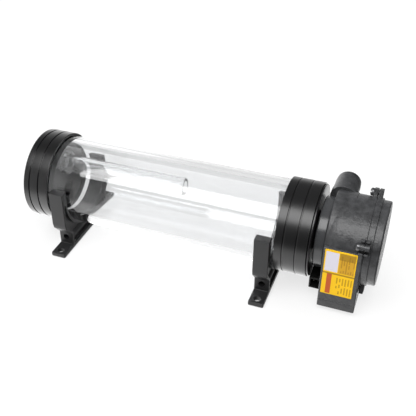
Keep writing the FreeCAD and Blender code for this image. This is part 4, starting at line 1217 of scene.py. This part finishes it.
def outlet_spigot(outlet_x, outlet_z):
    """Outlet along Y, with a slight collar at its root and a thinner land at its end."""
    sizes = bpy.context.scene.pump_sizes
    root = Vector((outlet_x, 12 * MM, outlet_z))
    step, land, collar_end, cover_room = 0.35 * MM, 3.6 * MM, 18.5 * MM, 24.1 * MM
    rings = (
        (sizes.outlet_radius - step, sizes.outlet_reach),
        (sizes.outlet_radius, sizes.outlet_reach - land),
        (sizes.outlet_radius + step, collar_end),
    )
    spigot = None
    for radius, reach in rings:
        ring = round_edges(rod(root, ALONG_Y, radius, reach - root.y, 96), 0.3 * MM)
        spigot = add(spigot, ring) if spigot else ring
    before = on_axis(CASING_START - FRONT_TOOL)
    cut(spigot, rod(before, ALONG_X, cover_room, FRONT_TOOL, 160))
    return cut(spigot, rod(on_axis(CASING_START), ALONG_X, INSIDE_SHELL, FRONT_TOOL, 160))


def make_casing():
    """Moulded casing: shell, terminal box, screw ears, swelling and outlet."""
    start, end = CASING_START, CASING_END
    outlet_x = start + 3.3 * MM
    outlet_z = AXIS.z + bpy.context.scene.pump_sizes.outlet_rise
    shell = casing_shell()
    add(shell, terminal_box())
    add_ears(shell, end - CASING_EAR, CASING_EAR - 0.5 * MM)
    add(shell, spiral_swell())
    add(shell, outlet_spigot(outlet_x, outlet_z))
    # Water way: the outlet's bore, and the throat from the chamber into it
    bore_start, bore_radius, bore_length = 21.5 * MM, 6.5 * MM, 20 * MM
    bore_at = (outlet_x, bore_start, outlet_z)
    cut(shell, rod(bore_at, ALONG_Y, bore_radius, bore_length, 64))
    throat_radius, throat_length = 4.4 * MM, 22 * MM
    throat = on_axis(start + 7.5 * MM, 17.6 * MM)
    cut(shell, rod(throat, ALONG_Y, throat_radius, throat_length, 48))
    # Wire bay, and the tunnel of the screw that the box hides
    bay_wall, bay_front, bay_back, bay_drop = 2.6 * MM, -9.5 * MM, 3 * MM, 26.8 * MM
    bay_low = Vector((BOX_LOW.x + bay_wall, bay_front, BOX_HIGH.z - MARGIN))
    bay_high = Vector((BOX_HIGH.x - bay_wall, bay_back, AXIS.z - bay_drop))
    cut(shell, block(bay_low, bay_high))
    tunnel, tunnel_radius = screw_place(start - MARGIN, EAR_ANGLES[3]), 2.7 * MM
    cut(shell, rod(tunnel, ALONG_X, tunnel_radius, end - CASING_EAR - tunnel.x, 40))
    # Room for the wire socket's back
    socket_low, socket_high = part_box("connector_housing")
    room = Vector((MARGIN, SEAT_GAP, SEAT_GAP))
    cut(shell, block(socket_low - room, socket_high + Vector((0, SEAT_GAP, SEAT_GAP))))
    finish(shell, "grey_casing", "reservoir", casing_plastic())
    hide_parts("volute_casing")


def rounded_end(x, radius, rounding, count=6):
    """Profile points of the rounded edge of a face that looks along +X."""
    for i in range(count + 1):
        angle = math.pi / 2 * i / count
        yield x - rounding * (1 - math.sin(angle)), radius - rounding * (1 - math.cos(angle))


def make_rear_cover():
    """Rear cover with its flange and ears."""
    sizes = bpy.context.scene.pump_sizes
    low, high = REAR_LOW.x, REAR_HIGH.x
    flange_end = low + sizes.flange
    inner, rear_wall = 24.5 * MM, 1.8 * MM
    floor = high - rear_wall
    profile = [
        (low, inner),
        (low, CASING_RADIUS),
        (flange_end, CASING_RADIUS),
        (flange_end, sizes.rear_radius),
        *rounded_end(high, sizes.rear_radius, 1.2 * MM),
        (high, 0),
        (floor, 0),
        (floor, inner),
    ]
    # The gasket's groove opens towards the casing
    outer, within, groove_floor = 28.5 * MM, 26.7 * MM, low + 0.6 * MM
    groove = [(low, within), (groove_floor, within), (groove_floor, outer), (low, outer)]
    profile = [profile[0], *groove, *profile[1:]]
    cover = turned(profile)
    round_edges(cover, 0.35 * MM, segments=3)
    add_ears(cover, low, REAR_EAR)
    finish(cover, "grey_rear_cover", "reservoir", casing_plastic())
    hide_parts("rear_cover")


def make_cover_screws():
    """Four pan-head screws through the ears."""
    low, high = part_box("cover_screws")
    head_radius, head_length = 2.6 * MM, 2.3 * MM
    centre = AXIS - ALONG_Y * EAR_RADIUS
    # The head's dome, as depths below its top and shares of its radius
    dome = ((0, 0.55), (0.25 * MM, 0.82), (0.8 * MM, 1))
    profile = [
        (low.x, 0),
        *((low.x + depth, head_radius * share) for depth, share in dome),
        (low.x + head_length, head_radius),
        (low.x + head_length, SCREW_RADIUS),
        (high.x, SCREW_RADIUS),
        (high.x, 0),
    ]
    model = turned(profile, closed=False, centre=centre, facets=40)
    round_edges(model, 0.12 * MM, segments=2, angle=40)
    half_width, reach, slot_depth = 0.45 * MM, 4 * MM, 0.9 * MM
    slot = block(
        (low.x - MARGIN, centre.y - half_width, centre.z - reach),
        (low.x + slot_depth, centre.y + half_width, centre.z + reach),
    )
    cut(model, slot)
    screws = joined([copy_turned(model, angle) for angle in EAR_ANGLES])
    bpy.data.objects.remove(model)
    finish(screws, "cover_screw_set", "reservoir", screw_metal())
    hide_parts("cover_screws")


def terminal_screw_places():
    inset = 3.9 * MM
    for x in (BOX_LOW.x + inset, BOX_HIGH.x - inset):
        for y in (BOX_LOW.y + inset, BOX_HIGH.y - inset):
            yield x, y


def make_terminal_cover():
    """Lower cover of the terminal box."""
    tray = block(BOX_LOW, BOX_HIGH)
    round_corners(tray, 0.6 * MM, ALONG_Z)
    round_edges(tray, 0.5 * MM, segments=3, angle=60)
    wall, floor = 1.95 * MM, 2 * MM
    inset = Vector((wall, wall, 0))
    cut(tray, block(BOX_LOW + inset + ALONG_Z * floor, BOX_HIGH - inset + ALONG_Z * MARGIN))
    post_radius, post_start, post_length = 2.4 * MM, 1.9 * MM, 3.9 * MM
    head_bay, bay_depth, screw_hole, hole_depth = 2.2 * MM, 1.5 * MM, 1.25 * MM, 8 * MM
    for x, y in terminal_screw_places():
        add(tray, rod((x, y, BOX_LOW.z + post_start), ALONG_Z, post_radius, post_length, 32))
        cut(tray, rod((x, y, BOX_LOW.z - MARGIN), ALONG_Z, head_bay, MARGIN + bay_depth, 32))
        cut(tray, rod((x, y, BOX_LOW.z), ALONG_Z, screw_hole, hole_depth, 32))
    finish(tray, "grey_terminal_cover", "reservoir", casing_plastic())
    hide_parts("terminal_cover")


def make_terminal_screws():
    """Four screws under the terminal cover, each with a cross in its head."""
    low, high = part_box("terminal_cover_screws")
    head_radius, head_length, cross_depth = 2.1 * MM, 1.5 * MM, 0.7 * MM
    shank_radius, overlap = 1.2 * MM, 0.1 * MM
    shank_start = low.z + head_length - overlap
    screws = []
    for x, y in terminal_screw_places():
        head = rod((x, y, low.z), ALONG_Z, head_radius, head_length, 40)
        round_edges(head, 0.35 * MM, segments=3)
        add(head, rod((x, y, shank_start), ALONG_Z, shank_radius, high.z - shank_start, 32))
        for reach in (Vector((1.2, 0.25, 0)) * MM, Vector((0.25, 1.2, 0)) * MM):
            at = Vector((x, y, low.z - MARGIN))
            cut(head, block(at - reach, at + reach + ALONG_Z * (MARGIN + cross_depth)))
        screws.append(head)
    screws = joined(screws)
    finish(screws, "terminal_screw_set", "reservoir", screw_metal())
    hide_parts("terminal_cover_screws")


def make_rating_plate():
    """Thin yellow sheet with rounded corners."""
    plate = block(PLATE_LOW, PLATE_HIGH)
    round_corners(plate, 0.3 * MM, ALONG_Y)
    round_edges(plate, 0.05 * MM, segments=1, angle=60)
    finish(plate, "yellow_rating_plate", "reservoir", printed_film())
    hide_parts("rating_plate")


def make_connector():
    """Wire socket, open to the front."""
    low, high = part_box("connector_housing")
    housing = block(low, high)
    round_edges(housing, 0.5 * MM, segments=3)
    wall, depth = 1.0 * MM, 10 * MM
    mouth_low = (low.x + wall, low.y - MARGIN, low.z + wall)
    mouth_high = (high.x - wall, low.y + depth, high.z - wall)
    cut(housing, block(mouth_low, mouth_high))
    finish(housing, "black_wire_socket", "reservoir", socket_plastic())
    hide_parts("connector_housing")


SEALS = (
    "end_cap_seals",
    "adapter_seals",
    "fill_plug_seal",
    "neck_seal",
    "casing_seal",
    "can_seal",
    "rear_cover_gasket",
)


def inner_finishes():
    """Finish of each CAD node that shows as it is, mostly inside the pump."""
    steel = turned_metal("ground steel", (0.55, 0.55, 0.56), 0.2)
    return {
        **{name: rubber() for name in SEALS},
        "impeller": plain_finish("white plastic", (0.62, 0.62, 0.60), 0.4),
        "rotor_magnet": plain_finish("sintered magnet", (0.05, 0.05, 0.052), 0.5, metallic=0.5),
        "rotor_bush": plain_finish("carbon bush", (0.03, 0.03, 0.03), 0.35),
        "thrust_washers": plain_finish("pale ceramic", (0.70, 0.68, 0.62), 0.3),
        "rotor_can": plain_finish("can plastic", (0.06, 0.06, 0.06), 0.35),
        "pump_shaft": steel,
        "stator_core": turned_metal("stacked steel", (0.30, 0.31, 0.33), 0.4),
        "stator_coils": plain_finish("enamelled copper", (0.42, 0.13, 0.04), 0.3, metallic=0.6),
        "control_board": plain_finish("board lacquer", (0.02, 0.12, 0.05), 0.3),
        "board_components": plain_finish("component black", (0.03, 0.03, 0.03), 0.5),
        "connector_pins": plain_finish("tinned pins", (0.55, 0.54, 0.50), 0.3, metallic=1.0),
        "lead_wires": plain_finish("wire cover", (0.04, 0.04, 0.04), 0.5),
    }


def dress_inner_pieces():
    for name, look in inner_finishes().items():
        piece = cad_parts[name]
        for slot in piece.material_slots:
            slot.material = look
        if not piece.material_slots:
            piece.data.materials.append(look)


# Studio

def floor_paint():
    made = bpy.data.materials.new("studio floor")
    made.use_nodes = True
    tree = made.node_tree
    shader = principled(made)
    shader.inputs["Base Color"].default_value = opaque((0.15, 0.15, 0.15))
    shader.inputs["Emission Color"].default_value = opaque((1, 1, 1))
    # Painted contact shadow: ambient occlusion dims the glow in holes and under what stands on the
    # floor
    painted_contact_shade = node(tree, "ShaderNodeAmbientOcclusion", samples=8)
    painted_contact_shade.inputs["Distance"].default_value = 4 * MM
    white, covered, clear = bpy.context.scene.studio.floor_white, 0.30, 0.58
    glow = map_range(tree, painted_contact_shade.outputs["AO"], covered, clear, 0.0, white)
    tree.links.new(glow, shader.inputs["Emission Strength"])
    shader.inputs["Roughness"].default_value = 0.9
    shader.inputs["Specular IOR Level"].default_value = 0.1
    return made


def make_floor():
    """A plain flat floor that reaches far past the object."""
    deselect()
    bpy.ops.mesh.primitive_grid_add(x_subdivisions=4, y_subdivisions=4, size=8, location=(0, 0, 0))
    floor = settle()
    floor.name = "floor"
    floor.data.materials.append(floor_paint())
    floor.visible_glossy = False


def area_light(name, place, target, width, height, power):
    """A soft box at a place, turned towards a target."""
    light = bpy.data.lights.new(name, "AREA")
    light.shape = "RECTANGLE"
    light.size = width
    light.size_y = height
    light.energy = power
    lamp = bpy.data.objects.new(name, light)
    bpy.context.scene.collection.objects.link(lamp)
    aim = (Vector(target) - Vector(place)).to_track_quat("-Z", "Y").to_matrix().to_4x4()
    lamp.matrix_world = Matrix.Translation(place) @ aim
    return lamp


def make_surround():
    """What the pieces mirror: the floor's white below, pale air behind and to the left.

    Each range gives where it starts and ends, and then its value at the start and at the end.
    """
    world = bpy.data.worlds.new("studio air")
    bpy.context.scene.world = world
    world.use_nodes = True
    tree = world.node_tree
    background = tree.nodes["Background"]
    background.inputs["Color"].default_value = (1, 1, 1, 1)
    direction = node(tree, "ShaderNodeSeparateXYZ")
    place = node(tree, "ShaderNodeTexCoord")
    tree.links.new(place.outputs["Generated"], direction.inputs[0])
    across, back, up = (direction.outputs[axis] for axis in "XYZ")
    far_back = map_range(tree, back, 0.0, 0.6, 0.0, 1.0)
    near_level = map_range(tree, up, 0.0, 0.25, 0.85, 0.12)
    behind = math_node(tree, "MULTIPLY", far_back, near_level)
    far_left = map_range(tree, across, -0.42, -0.27, 1.0, 0.0)
    not_high = map_range(tree, up, 0.2, 0.75, 0.8, 0.0)
    left = math_node(tree, "MULTIPLY", far_left, not_high)
    strength = map_range(tree, up, -0.55, -0.30, 1.7, 0.07)
    for part in (behind, left):
        strength = math_node(tree, "ADD", strength, part)
    dimmer_right = map_range(tree, across, 0.05, 0.35, 1.0, 0.15)
    strength = math_node(tree, "MULTIPLY", strength, dimmer_right)
    # The clear pieces show white air behind them on every side
    through = node(tree, "ShaderNodeLightPath").outputs["Is Transmission Ray"]
    strength = math_node(tree, "MAXIMUM", strength, through)
    tree.links.new(strength, background.inputs["Strength"])


def make_lights():
    """One soft box in front, and a wide fill that no surface mirrors."""
    make_surround()
    key_place, key_target = (-0.05, -0.65, 1.05), (0.0, 0, 0.05)
    area_light("key box", key_place, key_target, width=1.2, height=0.72, power=16.5)
    fill_place, fill_target = (0, 0.2, 1.6), (0, 0.2, 0)
    fill = area_light("floor fill", fill_place, fill_target, width=3.0, height=3.0, power=70)
    fill.visible_glossy = False


def make_camera():
    """The camera, at the place and angle that the settings give."""
    studio = bpy.context.scene.studio
    turn, tilt, roll = studio.camera_turn, studio.camera_tilt, studio.camera_roll
    ahead = math.cos(tilt)
    forward = Vector((-math.sin(turn) * ahead, math.cos(turn) * ahead, -math.sin(tilt)))
    level = Vector((math.cos(turn), math.sin(turn), 0))
    down = forward.cross(level)
    right = math.cos(roll) * level + math.sin(roll) * down
    up = math.sin(roll) * level - math.cos(roll) * down
    lens = bpy.data.cameras.new("camera")
    lens.lens = studio.focal_length
    lens.sensor_width = 36
    lens.clip_start = 0.01
    camera = bpy.data.objects.new("camera", lens)
    bpy.context.scene.collection.objects.link(camera)
    axes = Matrix((right, up, -forward)).transposed().to_4x4()
    camera.matrix_world = Matrix.Translation(studio.camera_place) @ axes
    bpy.context.scene.camera = camera


# Operators and panel

class RESERVOIR_OT_tube(bpy.types.Operator):
    """Make the clear tube"""

    bl_idname = "reservoir.tube"
    bl_label = "Clear tube"

    def execute(self, context):
        make_tube()
        return {"FINISHED"}


class RESERVOIR_OT_standpipe(bpy.types.Operator):
    """Make the standpipe and its collar"""

    bl_idname = "reservoir.standpipe"
    bl_label = "Standpipe"

    def execute(self, context):
        make_standpipe()
        make_standpipe_fitting()
        return {"FINISHED"}


class RESERVOIR_OT_end_pieces(bpy.types.Operator):
    """Make the black end cap and the pump adapter"""

    bl_idname = "reservoir.end_pieces"
    bl_label = "End pieces"

    def execute(self, context):
        make_end_cap()
        make_pump_adapter()
        return {"FINISHED"}


class RESERVOIR_OT_fill_plug(bpy.types.Operator):
    """Make the fill plug"""

    bl_idname = "reservoir.fill_plug"
    bl_label = "Fill plug"

    def execute(self, context):
        make_fill_plug()
        return {"FINISHED"}


class RESERVOIR_OT_clips(bpy.types.Operator):
    """Make the two clips that hold the tube"""

    bl_idname = "reservoir.clips"
    bl_label = "Clips"

    def execute(self, context):
        make_clips()
        return {"FINISHED"}


class RESERVOIR_OT_suction_cover(bpy.types.Operator):
    """Make the pump's front cover"""

    bl_idname = "reservoir.suction_cover"
    bl_label = "Suction cover"

    def execute(self, context):
        make_suction_cover()
        return {"FINISHED"}


class RESERVOIR_OT_casing(bpy.types.Operator):
    """Make the pump casing with its outlet and terminal box"""

    bl_idname = "reservoir.casing"
    bl_label = "Casing"

    def execute(self, context):
        make_casing()
        return {"FINISHED"}


class RESERVOIR_OT_rear_cover(bpy.types.Operator):
    """Make the rear cover and its screws"""

    bl_idname = "reservoir.rear_cover"
    bl_label = "Rear cover"

    def execute(self, context):
        make_rear_cover()
        make_cover_screws()
        return {"FINISHED"}


class RESERVOIR_OT_terminal_box(bpy.types.Operator):
    """Make the terminal cover, the rating plate and the wire socket"""

    bl_idname = "reservoir.terminal_box"
    bl_label = "Terminal box"

    def execute(self, context):
        make_terminal_cover()
        make_terminal_screws()
        make_rating_plate()
        make_connector()
        return {"FINISHED"}


class RESERVOIR_OT_inner_pieces(bpy.types.Operator):
    """Give the seals and the pieces inside the pump their finishes"""

    bl_idname = "reservoir.inner_pieces"
    bl_label = "Inner pieces"

    def execute(self, context):
        dress_inner_pieces()
        return {"FINISHED"}


class RESERVOIR_OT_stage(bpy.types.Operator):
    """Make the floor, the lights and the camera"""

    bl_idname = "reservoir.stage"
    bl_label = "Stage"

    def execute(self, context):
        make_floor()
        make_lights()
        make_camera()
        return {"FINISHED"}


OPERATORS = (
    RESERVOIR_OT_tube,
    RESERVOIR_OT_standpipe,
    RESERVOIR_OT_end_pieces,
    RESERVOIR_OT_fill_plug,
    RESERVOIR_OT_clips,
    RESERVOIR_OT_suction_cover,
    RESERVOIR_OT_casing,
    RESERVOIR_OT_rear_cover,
    RESERVOIR_OT_terminal_box,
    RESERVOIR_OT_inner_pieces,
    RESERVOIR_OT_stage,
)


class RESERVOIR_PT_panel(bpy.types.Panel):
    """Lists the steps and settings"""

    bl_label = "Coolant pump reservoir"
    bl_idname = "RESERVOIR_PT_panel"
    bl_space_type = "VIEW_3D"
    bl_region_type = "UI"
    bl_category = "Reservoir"

    def draw(self, context):
        column = self.layout.column()
        for settings in SETTINGS:
            group = getattr(context.scene, settings)
            for prop in group.bl_rna.properties:
                if prop.identifier not in ("rna_type", "name"):
                    column.prop(group, prop.identifier)
        for operator in OPERATORS:
            column.operator(operator.bl_idname)


SETTINGS = {
    "reservoir_sizes": ReservoirSizes,
    "pump_sizes": PumpSizes,
    "reservoir_colours": ReservoirColours,
    "studio": StudioSettings,
}


def register():
    for group in SETTINGS.values():
        bpy.utils.register_class(group)
    for operator in OPERATORS:
        bpy.utils.register_class(operator)
    bpy.utils.register_class(RESERVOIR_PT_panel)
    for name, group in SETTINGS.items():
        setattr(bpy.types.Scene, name, bpy.props.PointerProperty(type=group))


def unregister():
    for name in SETTINGS:
        delattr(bpy.types.Scene, name)
    bpy.utils.unregister_class(RESERVOIR_PT_panel)
    for operator in reversed(OPERATORS):
        bpy.utils.unregister_class(operator)
    for group in SETTINGS.values():
        bpy.utils.unregister_class(group)


def run_operator(operator):
    category, name = operator.bl_idname.split(".")
    outcome = getattr(getattr(bpy.ops, category), name)()
    if outcome != {"FINISHED"}:
        raise RuntimeError(f"{operator.bl_label} did not finish")


def main():
    register()
    bpy.context.scene.view_settings.view_transform = "Standard"
    for operator in OPERATORS:
        run_operator(operator)


if __name__ == "__main__":
    main()
